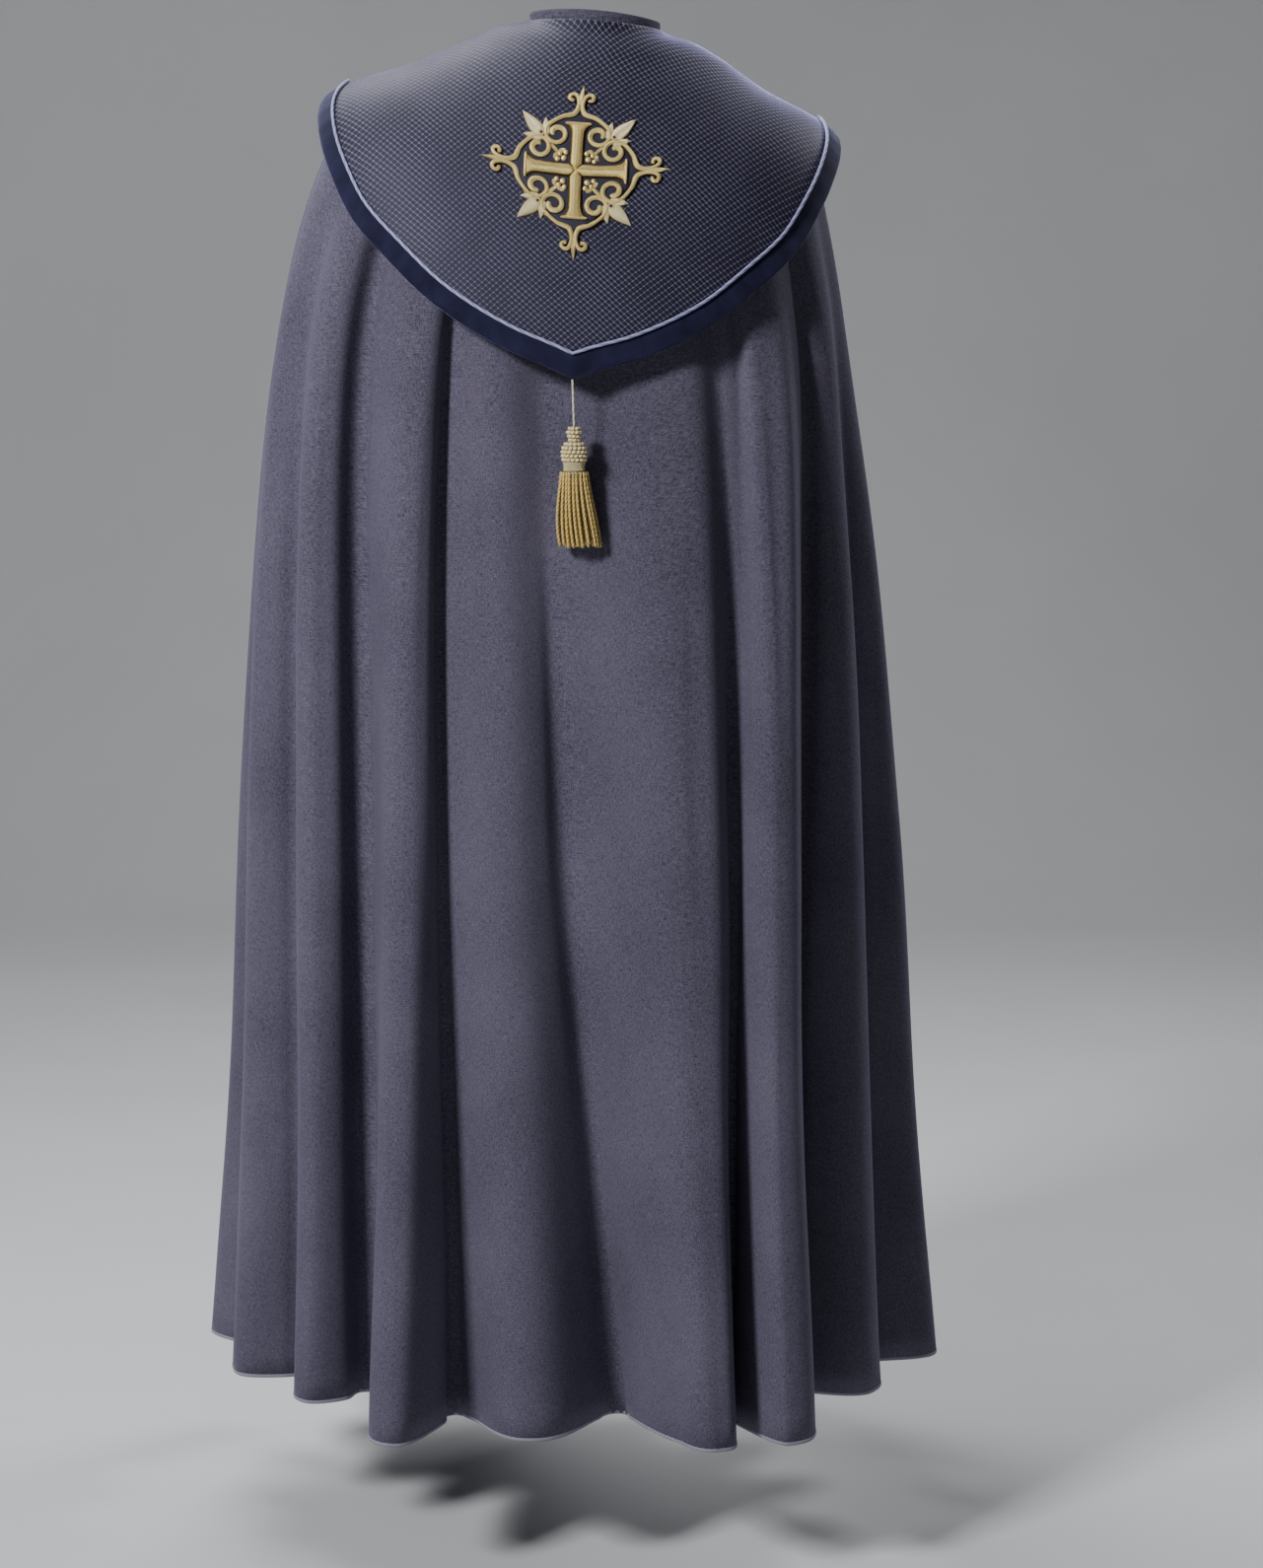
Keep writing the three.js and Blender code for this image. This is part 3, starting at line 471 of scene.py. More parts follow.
def hood_inset(edge_angle, distance):
    """The place a distance inward from the hood's edge, as its angle and level."""
    turn, drop = 0.06, 0.02
    level = hood_edge_level(edge_angle)
    ahead = hood_point(edge_angle + turn, hood_edge_level(edge_angle + turn))
    behind = hood_point(edge_angle - turn, hood_edge_level(edge_angle - turn))
    inward = unit(np.cross(hood_normal(edge_angle, level), unit(ahead - behind)))
    per_angle = hood_point(edge_angle + turn, level) - hood_point(edge_angle - turn, level)
    per_level = hood_point(edge_angle, level + drop) - hood_point(edge_angle, level - drop)
    per_angle, per_level = per_angle / (2 * turn), per_level / (2 * drop)
    aa = (per_angle * per_angle).sum(-1)
    ll = (per_level * per_level).sum(-1)
    al = (per_angle * per_level).sum(-1)
    want_a = (inward * per_angle).sum(-1) * distance
    want_l = (inward * per_level).sum(-1) * distance
    determinant = aa * ll - al * al
    return (
        edge_angle + (want_a * ll - want_l * al) / determinant,
        level + (want_l * aa - want_a * al) / determinant,
    )


def mitre_angle(distance):
    """The edge angle from which an inset by the distance reaches the hood's centre line."""
    rim = np.linspace(0, 20, 801)
    turn = hood_inset(rim, distance)[0]
    last = np.nonzero(turn <= 1e-9)[0][-1]
    share = -turn[last] / (turn[last + 1] - turn[last])
    return rim[last] + share * (rim[last + 1] - rim[last])


MITRE_DISTANCES = np.linspace(0, 40, 21)
MITRE_ANGLES = [mitre_angle(distance) for distance in MITRE_DISTANCES]


def hood_rim(u, distance):
    """The place a distance inward from the hood's edge, with its corner mitred at the point."""
    t = 2 * u - 1
    first = np.interp(distance, MITRE_DISTANCES, MITRE_ANGLES)
    side = np.where(t < 0, -1, 1)
    angle, level = hood_inset(first + (HOOD_REACH - first) * np.abs(t) ** 0.9, distance)
    return side * np.maximum(angle, 0), level


CENTRE_LEVELS = np.linspace(0, 5, 101)
CENTRE_DROPS = run_along(hood_point(np.zeros(101), CENTRE_LEVELS))


def on_emblem(x, y, height):
    """x to the wearer's right and y up from the emblem's middle, along the cloth."""
    x, y, height = np.broadcast_arrays(*(np.asarray(part, float) for part in (x, y, height)))
    level = curve_through(CENTRE_DROPS, CENTRE_LEVELS, EMBLEM_DROP - y)
    half = curve_through(np.arange(6), HOOD["half"], level)
    return hood_raised(np.degrees(np.arcsin(x / half)), level, height)


# Pieces made from bent grids


class Piece:
    """A mesh in the making, which is sewn together from bent grids and small shapes."""

    def __init__(self, name):
        self.name = name
        self.mesh = bmesh.new()
        self.mesh.loops.layers.uv.new("cut")

    def add(self, part, finish=0):
        for face in part.faces:
            face.smooth = True
            face.material_index = finish
        made = bpy.data.meshes.new("part")
        part.to_mesh(made)
        part.free()
        self.mesh.from_mesh(made)
        bpy.data.meshes.remove(made)

    def sheet(self, columns, rows, place, cut=None, finish=0):
        """A grid bent by place(u, v), with u and v from 0 to 1 and points in millimetres."""
        self.add(self.bent(columns, rows, place, cut), finish)

    def tube(self, sides, steps, place, cut=None, finish=0):
        """A grid bent round on itself: u runs round the section and v along the tube."""
        part = self.bent(sides, steps, place, cut)
        bmesh.ops.remove_doubles(part, verts=part.verts, dist=1e-7)
        open_edges = [edge for edge in part.edges if edge.is_boundary]
        bmesh.ops.holes_fill(part, edges=open_edges)
        bmesh.ops.recalc_face_normals(part, faces=part.faces)
        self.add(part, finish)

    def bent(self, columns, rows, place, cut):
        part = bmesh.new()
        layer = part.loops.layers.uv.new("cut")
        made = bmesh.ops.create_grid(part, x_segments=columns, y_segments=rows, size=0.5)
        corners = made["verts"]
        at = np.array([corner.co[:2] for corner in corners])
        u, v = at[:, 0] + 0.5, 0.5 - at[:, 1]
        flat = np.stack([u, v], -1) if cut is None else cut(u, v)
        for number, (corner, to) in enumerate(zip(corners, place(u, v) * MM)):
            corner.co = to
            corner.index = number
        flat = flat.tolist()
        for face in part.faces:
            for loop in face.loops:
                loop[layer].uv = flat[loop.vert.index]
        return part

    def ball(self, centre, axes, sizes, detail=1, finish=0):
        """A ball with its three half sizes along three axes, in millimetres."""
        part = bmesh.new()
        part.loops.layers.uv.new("cut")
        turn = Matrix([list(axis) for axis in axes]).transposed().to_4x4()
        matrix = Matrix.Translation(Vector(centre) * MM) @ turn
        matrix = matrix @ Matrix.Diagonal([size * MM for size in sizes] + [1])
        bmesh.ops.create_icosphere(part, subdivisions=detail, radius=1, matrix=matrix)
        bmesh.ops.recalc_face_normals(part, faces=part.faces)
        self.add(part, finish)

    def finished(self, finishes, slot, stands_for=(), wall=None):
        mesh = bpy.data.meshes.new(self.name)
        self.mesh.to_mesh(mesh)
        self.mesh.free()
        thing = bpy.data.objects.new(self.name, mesh)
        bpy.context.scene.collection.objects.link(thing)
        for finish in finishes:
            mesh.materials.append(finish)
        if wall:
            solidify = thing.modifiers.new("wall", "SOLIDIFY")
            solidify.thickness = wall * MM
            solidify.offset = -1
        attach(thing, "root")
        if stands_for:
            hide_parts(*stands_for)
        return thing


def padded_section(u):
    """Round a padded shape: the place across from -1 to 1, and the share of its height."""
    over = np.clip(u / 0.7, 0, 1)
    under = np.clip((u - 0.7) / 0.3, 0, 1)
    across = -np.cos(np.pi * over) * (1 - 2 * under)
    return across, np.sin(np.pi * over) * (u < 0.7)


def ridge(across, at, width):
    """A soft ridge, 1 high, that runs along a padded shape at a place across it."""
    return np.exp(-(((across - at) / width) ** 2))


def flat_tube_section(u, power):
    """A flat bar with round edges: the place across and through, each from -1 to 1."""
    turn = 2 * np.pi * u
    c, s = np.cos(turn), np.sin(turn)
    return (
        np.sign(c) * np.abs(c) ** (2 / power),
        np.sign(s) * np.abs(s) ** (2 / power),
    )


def thread_cut(length):
    """The cut of a thread: once round it, and along it over its length in millimetres."""
    return lambda u, v: np.stack([u, v * length * MM], -1)


def padded_cut(length):
    """The cut of a padded shape: across from -1 to 1, and along over its length."""
    return lambda u, v: np.stack([padded_section(u)[0], v * length * MM], -1)


# Shader maths


class Wire:
    """A value in a finish, so that a formula is written as it is read."""

    def __init__(self, finish, socket):
        self.finish = finish
        self.socket = socket

    def maths(self, operation, *values):
        inputs = dict(enumerate(values))
        return self.finish.node("ShaderNodeMath", {"operation": operation}, inputs)

    def __add__(self, other):
        return self.maths("ADD", self, other)

    def __radd__(self, other):
        return self.maths("ADD", other, self)

    def __sub__(self, other):
        return self.maths("SUBTRACT", self, other)

    def __rsub__(self, other):
        return self.maths("SUBTRACT", other, self)

    def __mul__(self, other):
        return self.maths("MULTIPLY", self, other)

    def __rmul__(self, other):
        return self.maths("MULTIPLY", other, self)

    def sine(self):
        return self.maths("SINE", self)

    def wave(self):
        """A sine that runs from 0 to 1."""
        return self.sine() * 0.5 + 0.5

    def size(self):
        return self.maths("ABSOLUTE", self)

    def within(self, low, high):
        """0 below low and 1 above high, and smooth between them."""
        settings = {"interpolation_type": "SMOOTHSTEP"}
        inputs = {"Value": self, "From Min": low, "From Max": high}
        return self.finish.node("ShaderNodeMapRange", settings, inputs)


class Finish:
    """One material. node() adds any node, with its settings first and its sockets after."""

    def __init__(self, name, **constants):
        self.material = bpy.data.materials.new(name)
        self.material.use_nodes = True
        self.tree = self.material.node_tree
        self.tree.nodes.clear()
        self.shader = self.tree.nodes.new("ShaderNodeBsdfPrincipled")
        output = self.tree.nodes.new("ShaderNodeOutputMaterial")
        self.tree.links.new(self.shader.outputs["BSDF"], output.inputs["Surface"])
        for key, value in constants.items():
            socket = self.shader.inputs[key.replace("_", " ")]
            socket.default_value = (*value, 1) if isinstance(value, tuple) else value

    def node(self, kind, settings=None, inputs=None, output=0):
        made = self.tree.nodes.new(kind)
        for key, value in (settings or {}).items():
            if key == "stops":
                self.set_stops(made.color_ramp, value)
            else:
                setattr(made, key, value)
        for key, value in (inputs or {}).items():
            self.plug(made.inputs[key], value)
        return Wire(self, made.outputs[output])

    def set_stops(self, ramp, stops):
        while len(ramp.elements) < len(stops):
            ramp.elements.new(1)
        for element, (at, colour) in zip(ramp.elements, stops):
            element.position = at
            element.color = (*colour, 1)

    def plug(self, socket, value):
        if isinstance(value, Wire):
            self.tree.links.new(value.socket, socket)
        elif socket.type == "RGBA":
            socket.default_value = (*value, 1)
        else:
            socket.default_value = value

    def cloth(self):
        """The place on the flat cloth, in metres."""
        return self.node("ShaderNodeUVMap", {"uv_map": "cut"})

    def parts(self, vector):
        made = self.node("ShaderNodeSeparateXYZ", {}, {"Vector": vector})
        outputs = made.socket.node.outputs
        return Wire(self, outputs["X"]), Wire(self, outputs["Y"])

    def noise(self, vector, stretch, detail=2, roughness=0.5):
        mapped = self.node("ShaderNodeMapping", {}, {"Vector": vector, "Scale": stretch})
        inputs = {"Vector": mapped, "Scale": 1, "Detail": detail, "Roughness": roughness}
        return self.node("ShaderNodeTexNoise", {}, inputs)

    def mix(self, share, a, b):
        inputs = {0: share, 6: a, 7: b}
        return self.node("ShaderNodeMix", {"data_type": "RGBA"}, inputs, output=2)

    def bump(self, height, distance, strength):
        inputs = {"Height": height, "Distance": distance, "Strength": strength}
        return self.node("ShaderNodeBump", {}, inputs)

    def done(self, colour, normal=None):
        self.plug(self.shader.inputs["Base Color"], colour)
        if normal:
            self.plug(self.shader.inputs["Normal"], normal)
        return self.material


def dyed(colour, share, other=(0, 0, 0), other_share=0):
    """A share of one colour with a share of another."""
    return tuple(share * a + other_share * b for a, b in zip(colour, other))


def cape_wool(dark, light):
    """Slate wool with flecks of lighter thread along warp and weft."""
    finish = Finish(
        "cape_wool",
        Roughness=0.92,
        Sheen_Weight=0.12,
        Sheen_Roughness=0.45,
        Sheen_Tint=(0.62, 0.66, 0.95),
        Specular_IOR_Level=0.2,
    )
    cut = finish.cloth()
    warp = finish.noise(cut, (1500, 240, 1), 2, 0.6)
    weft = finish.noise(cut, (240, 1500, 1), 2, 0.6)
    slub = finish.noise(cut, (900, 60, 1), 2)
    pick = finish.noise(cut, (60, 900, 1), 2)
    cloud = finish.noise(cut, (6, 6, 1), 3)
    thread = warp + weft - 1 + 0.35 * (slub + pick - 1)
    share = (thread + 0.35 * (cloud - 0.5) + 0.5).within(0.05, 0.95)
    x, y = finish.parts(cut)
    weave = (x * 5200).sine() * (y * 5200).sine()
    normal = finish.bump(thread + 0.25 * weave, 0.0003, 0.3)
    return finish.done(finish.mix(share, dark, light), normal)


def jacquard(dark, thread):
    """A small lattice of pale thread on navy: strong slants one way, weaker ones the other."""
    finish = Finish(
        "hood_jacquard",
        Roughness=0.58,
        Sheen_Weight=1.0,
        Sheen_Roughness=0.25,
        Sheen_Tint=(0.56, 0.56, 1.0),
        Specular_IOR_Level=0.45,
        Specular_Tint=(0.74, 0.74, 1.0),
    )
    cut = finish.cloth()
    x, y = finish.parts(cut)
    uneven = finish.noise(cut, (40, 40, 1), 2) * 0.0012
    steep, pitch, cross_pitch = math.radians(39), 0.0050, 0.0044
    rising = (y * math.cos(steep) - x * math.sin(steep) + uneven) * (2 * math.pi / pitch)
    falling = (y * math.cos(steep) + x * math.sin(steep) + uneven) * (2 * math.pi / cross_pitch)
    strong = rising.wave().within(0.84, 1.0)
    weaker = falling.wave().within(0.84, 1.0)
    dashes = finish.noise(cut, (900, 900, 1), 2, 0.6).within(0.36, 0.62)
    breaks = falling.wave().within(0.0, 0.7)
    sparse = finish.noise(cut, (16, 12, 1), 2).within(0.3, 0.7)
    share = strong * (0.4 + 0.4 * dashes) * (0.45 + 0.5 * breaks) + strong * weaker * 0.3
    share = share + weaker * (0.30 + 0.36 * dashes) * (0.6 + 0.6 * sparse)
    normal = finish.bump(strong + 0.8 * weaker + 0.3 * dashes, 0.0003, 0.6)
    return finish.done(finish.mix(share.within(0, 1), dark, thread), normal)


def velvet(colour):
    """Velvet whose nap is brushed in patches."""
    finish = Finish(
        "border_velvet",
        Roughness=0.85,
        Sheen_Weight=1.0,
        Sheen_Roughness=0.34,
        Sheen_Tint=(0.62, 0.64, 1.0),
        Specular_IOR_Level=0.15,
    )
    cut = finish.cloth()
    nap = finish.noise(cut, (1500, 1500, 1), 3, 0.6)
    brushed = finish.noise(cut, (60, 90, 1), 3)
    share = (nap - 0.5) * 0.6 + (brushed - 0.5) * 1.2 + 0.5
    normal = finish.bump(nap + brushed * 0.6, 0.0006, 0.5)
    tone = finish.mix(share.within(0, 1), dyed(colour, 0.45), dyed(colour, 1.7))
    return finish.done(tone, normal)


def twisted_silk(name, colour, turns_per_metre, **constants):
    """Two plies twisted round each other: the cut runs once round them and along in metres."""
    finish = Finish(name, **constants)
    x, y = finish.parts(finish.cloth())
    wave = ((x * 2 + y * turns_per_metre) * (2 * math.pi)).wave()
    fibre = finish.noise(finish.cloth(), (40, 2600, 1), 2)
    # Painted shade: the colour drops to half in the grooves between the plies, where the wave is
    # low. The fibre noise is uneven tone.
    share = (wave * 0.75 + fibre * 0.4).within(0, 1)
    normal = finish.bump(wave + 0.4 * fibre, 0.0004, 0.7)
    return finish.done(finish.mix(share, dyed(colour, 0.5), colour), normal)


def satin_stitch(name, dark, middle, light, stitches, metallic):
    """Metal thread laid side by side, with painted shade at its edges and a painted highlight along
    its middle: the cut runs across from -1 to 1 and along in metres.
    """
    finish = Finish(name, Metallic=metallic, Roughness=0.36, Specular_IOR_Level=0.6)
    x, y = finish.parts(finish.cloth())
    stitch = ((y * stitches + x * 0.9) * (2 * math.pi)).wave()
    uneven = finish.noise(finish.cloth(), (3, 700, 1), 3)
    worn_tone = finish.noise(finish.cloth(), (1.5, 60, 1), 2)
    # Painted shade and highlight: the colour darkens towards the strand's edges (painted shade) and
    # lightens along its middle and on each stitch's crest (painted highlight). The two noises are
    # uneven tone.
    edge = x.size().within(0.5, 0.98)
    share = 0.66 - 1.05 * edge + 0.3 * stitch + 0.8 * (uneven - 0.5) + 0.5 * (worn_tone - 0.5)
    ramp = {"stops": ((0.0, dark), (0.5, middle), (1.0, light))}
    colour = finish.node("ShaderNodeValToRGB", ramp, {"Fac": share.within(-0.1, 1.05)})
    normal = finish.bump(stitch + uneven * 0.6, 0.0005, 0.9)
    return finish.done(colour, normal)


def plain_silk(name, colour, **constants):
    """A smooth dark cloth with a fine weave."""
    finish = Finish(name, **constants)
    place = finish.node("ShaderNodeTexCoord", output="Object")
    grain = finish.noise(place, (900, 900, 900), 3)
    normal = finish.bump(grain, 0.0003, 0.4)
    return finish.done(finish.mix(grain.within(0.3, 0.7), dyed(colour, 0.6), colour), normal)


# Sizes and colours that a user may change


def length_choice(name, description, default, least):
    """A length that a user may change, given here in millimetres."""
    return bpy.props.FloatProperty(
        name=name, description=description, default=default * MM, min=least * MM, unit="LENGTH"
    )


def colour_choice(name, description, default):
    """A colour that a user may change."""
    return bpy.props.FloatVectorProperty(
        name=name, description=description, default=default, subtype="COLOR", min=0, max=1
    )


class CopeSizes(bpy.types.PropertyGroup):
    """Sizes of the cope's cloth and trimmings."""

    cape_wall: length_choice("Cape cloth", "Thickness of the cape's cloth", 1.5, 0.5)
    hem_width: length_choice("Hem", "Width of the cloth turned up inside at the hem", 24, 5)
    band_width: length_choice("Border", "Width of the velvet border round the hood", 24, 5)
    piping_radius: length_choice(
        "Piping radius", "Radius of the piping between hood and border", 1.7, 0.5
    )


class CopeColours(bpy.types.PropertyGroup):
    """Colours of the cope's cloth and thread."""

    cape_dark: colour_choice(
        "Cape shade thread", "Darker threads in the cape's wool", (0.028, 0.025, 0.046)
    )
    cape_light: colour_choice(
        "Cape light thread", "Lighter flecks in the cape's wool", (0.150, 0.137, 0.194)
    )
    jacquard_dark: colour_choice(
        "Hood ground", "The hood's navy ground weave", (0.006, 0.0055, 0.014)
    )
    jacquard_thread: colour_choice(
        "Hood lattice", "The pale lattice thread in the hood", (0.22, 0.21, 0.33)
    )
    velvet_blue: colour_choice("Border velvet", "The velvet border", (0.010, 0.010, 0.032))
    piping_blue: colour_choice("Piping", "The piping", (0.40, 0.41, 0.70))
    # gold_light is the painted-highlight end of the gold ramps. It is also the base of the tassel's
    # straw and skirt colours.
    gold_light: colour_choice(
        "Gold highlight", "The gold thread where it is cleanest", (1.0, 0.82, 0.35)
    )
    gold_middle: colour_choice("Gold", "Most of the gold thread", (0.70, 0.48, 0.14))
    # gold_dark is the painted-shade end of the gold ramps, reached at the strands' edges.
    gold_dark: colour_choice("Gold shade", "The gold thread in its creases", (0.10, 0.06, 0.015))


# The stage


class COPE_OT_stage(bpy.types.Operator):
    """Sets up the camera, the pale floor and the soft lights"""

    bl_idname = "cope.stage"
    bl_label = "Stage"

    def execute(self, context):
        data = bpy.data.cameras.new("camera")
        data.lens = CAMERA_LENS
        data.sensor_width = CAMERA_SENSOR
        camera = bpy.data.objects.new("camera", data)
        camera.location = CAMERA_PLACE
        camera.rotation_euler = (math.radians(90 - CAMERA_PITCH), 0, 0)
        context.scene.collection.objects.link(camera)
        context.scene.camera = camera
        self.floor(context)
        for name, place, aim, size, watts in LIGHTS:
            light = bpy.data.lights.new(name, "AREA")
            light.size = size
            light.energy = watts
            lamp = bpy.data.objects.new(name, light)
            lamp.location = place
            lamp.rotation_euler = (Vector(aim) - Vector(place)).to_track_quat("-Z", "Y").to_euler()
            context.scene.collection.objects.link(lamp)
        world = bpy.data.worlds.new("studio")
        world.use_nodes = True
        background = world.node_tree.nodes["Background"]
        background.inputs["Color"].default_value = SKY_COLOUR
        background.inputs["Strength"].default_value = SKY_STRENGTH
        context.scene.world = world
        return {"FINISHED"}

    def floor(self, context):
        """One pale sheet: the floor, which curves up into a backdrop."""
        part = bmesh.new()
        bmesh.ops.create_grid(part, x_segments=1, y_segments=40, size=0.5)
        for corner in part.verts:
            along = corner.co.y + 0.5
            turn = np.clip((along - FLAT_SHARE) / CURVE_SHARE, 0, 1) * math.pi / 2
            run = FLOOR_START + min(along, FLAT_SHARE) * FLOOR_LENGTH
            rise = max(0, along - FLAT_SHARE - CURVE_SHARE) * BACKDROP_LENGTH
            corner.co = (
                corner.co.x * FLOOR_WIDTH,
                run + CURVE_RADIUS * math.sin(turn),
                FLOOR_Z + CURVE_RADIUS * (1 - math.cos(turn)) + rise,
            )
        mesh = bpy.data.meshes.new("floor")
        for face in part.faces:
            face.smooth = True
        part.to_mesh(mesh)
        part.free()
        paper = Finish("floor_paper", Roughness=0.9, Specular_IOR_Level=0.2)
        place = paper.node("ShaderNodeTexCoord", output="Object")
        grain = paper.noise(place, (3, 3, 3), 3)
        mesh.materials.append(paper.done(paper.mix(grain, (0.60, 0.61, 0.63), (0.66, 0.67, 0.69))))
        floor = bpy.data.objects.new("floor", mesh)
        context.scene.collection.objects.link(floor)


# Where the tassel hangs


HOOD_TIP = hood_raised(np.zeros(1), hood_edge_level(np.zeros(1)), BAND_WALL / 2 - HOOD_WALL)[0]
CORD_TOP = HOOD_TIP + (0, 0, -SEAM_GAP - 0.2)
CORD_END = CORD_TOP + (1.5, -0.5, -CORD_LENGTH)
TASSEL_TOP = CORD_END + (0, 0, -SEAM_GAP)


class COPE_OT_cord(bpy.types.Operator):
    """Twists the short cord that the tassel hangs from"""

    bl_idname = "cope.cord"
    bl_label = "Tassel cord"

    def execute(self, context):
        piece = Piece("tassel_hanging_cord")
        whole = CORD_LENGTH + CORD_INSIDE
        knot = CORD_END + (0, 0, -CORD_INSIDE)

        def line(v):
            """Down to the head, and on through it to the knot inside the skirt."""
            drop = (v * whole)[..., None]
            inside = np.clip((drop - CORD_LENGTH) / CORD_INSIDE, 0, 1)
            free = CORD_TOP + (CORD_END - CORD_TOP) * np.clip(drop / CORD_LENGTH, 0, 1)
            return free + (knot - CORD_END) * inside

        def place(u, v):
            turn = 2 * np.pi * u
            plies = 0.86 + 0.14 * np.abs(np.cos(turn + 2 * np.pi * 14 * v))
            around = point(np.cos(turn), np.sin(turn), 0 * turn)
            return line(v) + around * (CORD_RADIUS * plies)[..., None]

        piece.tube(12, 120, place, thread_cut(whole))
        finish = twisted_silk("cord_silk", CORD_COLOUR, 130, Roughness=0.55)
        cord = piece.finished([finish], "tassel_thread", ["tassel_cord"])
        tassel = self.tassel(context.scene.cope_colours)
        (CORD_TOP * MM).tolist()
        (line(np.linspace(0, 1, 20)) * MM).tolist()
        return {"FINISHED"}

    def tassel(self, colours):
        """The crocheted ball and bell, the whipping below them, and the skirt."""
        head = Piece("tassel_head")

        def head_point(turn, drop, raised, lower=0.0):
            """On the head at a turn and a drop, raised outwards, and a little lower or higher."""
            radius = curve_through(HEAD_DROPS, HEAD_RADII, drop) + raised
            flat = 1 - 0.25 * smooth(drop / 24)
            place = point(radius * np.cos(turn), radius * np.sin(turn) * flat, -drop - lower)
            return TASSEL_TOP + place

        def body(u, v):
            return head_point(2 * np.pi * u, HEAD_HEIGHT * v, HEAD_LINING)

        # The core under the loops, in finish 1, the dark head_shade: painted shade between the
        # loops.
        head.tube(28, 40, body, finish=1)
        for row in range(LOOP_ROWS):
            drop = LOOP_FIRST_ROW + LOOP_ROW_GAP * row
            radius = float(curve_through(HEAD_DROPS, HEAD_RADII, drop))
            count = max(6, round(2 * math.pi * radius / LOOP_WIDTH))
            for i in range(count):
                turn = 2 * math.pi * (i + 0.5 * (row % 2)) / count
                centre = head_point(np.array(turn), np.array(drop), LOOP_SEAT)
                out = Vector((math.cos(turn), math.sin(turn), 0))
                side = Vector((-math.sin(turn), math.cos(turn), 0))
                lean = (side + Vector((0, 0, 0.55 if row % 2 else 0.35))).normalized()
                head.ball(centre, (lean, out, out.cross(lean)), LOOP_HALF_SIZES, 2)
        for number in range(WHIPPING_TURNS):
            drop = WHIPPING_DROP + WHIPPING_GAP * number

            def ring(u, v, drop=drop):
                turn, round_it = 2 * np.pi * v, 2 * np.pi * u
                raised = 0.25 + WHIPPING_RADIUS * np.cos(round_it)
                lower = 0.5 - 0.5 * turn / np.pi - WHIPPING_RADIUS * np.sin(round_it)
                return head_point(turn, np.full_like(u, drop), raised, lower)

            head.tube(8, 40, ring)
        straw = dyed(colours.gold_light, 0.8, (1, 1, 1), 0.2)
        thread = twisted_silk("head_thread", straw, 240, Roughness=0.5, Specular_IOR_Level=0.5)
        # The core is dyed to about a third of the straw's brightness: painted shade for the gaps
        # between the loops.
        inner = plain_silk("head_shade", dyed(straw, 0.35), Roughness=0.7)
        head_piece = head.finished([thread, inner], "tassel_thread", ["tassel"])

        skirt = Piece("tassel_skirt")
        rng = np.random.default_rng(7)
        for count, root, end in SKIRT_RINGS:
            for i in range(count):
                turn = 2 * math.pi * (i + rng.uniform(-0.18, 0.18)) / count
                self.strand(skirt, turn, root, end, rng)
        gold = dyed(colours.gold_light, 0.2, colours.gold_middle, 0.75)
        shine = {"Roughness": 0.48, "Metallic": 0.1, "Specular_IOR_Level": 0.5}
        silk = twisted_silk("skirt_thread", gold, 230, **shine)
        return [head_piece, skirt.finished([silk], "tassel_thread")]

    def strand(self, skirt, turn, root, end, rng):
        """One twisted strand, from inside the head out over its rim and down."""
        length = SKIRT_LENGTH * (1 + rng.uniform(-0.025, 0.03))
        bow, phase, drift = rng.uniform(-1.2, 1.2), rng.uniform(0, 6.28), rng.uniform(-1.2, 1.2)

        def place(u, v):
            out = root + (end - root) * (0.25 * v + 0.75 * smooth(v))
            out = out + 1.6 * np.sin(np.pi * v * 0.9)
            x = out * math.cos(turn) + SKIRT_LEAN * v * v + bow * np.sin(2.4 * v) + drift * v
            y = out * math.sin(turn) * SKIRT_FLATNESS + 0.4 * bow * np.sin(3 * v)
            round_it = 2 * np.pi * u
            radius = STRAND_RADIUS * (0.78 + 0.22 * np.abs(np.cos(round_it + 26 * v + phase)))
            radius = radius * np.where(v > 0.985, 0.7, 1)
            x, y = x + radius * np.cos(round_it), y + radius * np.sin(round_it)
            return TASSEL_TOP + point(x, y, -SKIRT_TOP - length * v)

        skirt.tube(6, 34, place, thread_cut(length))


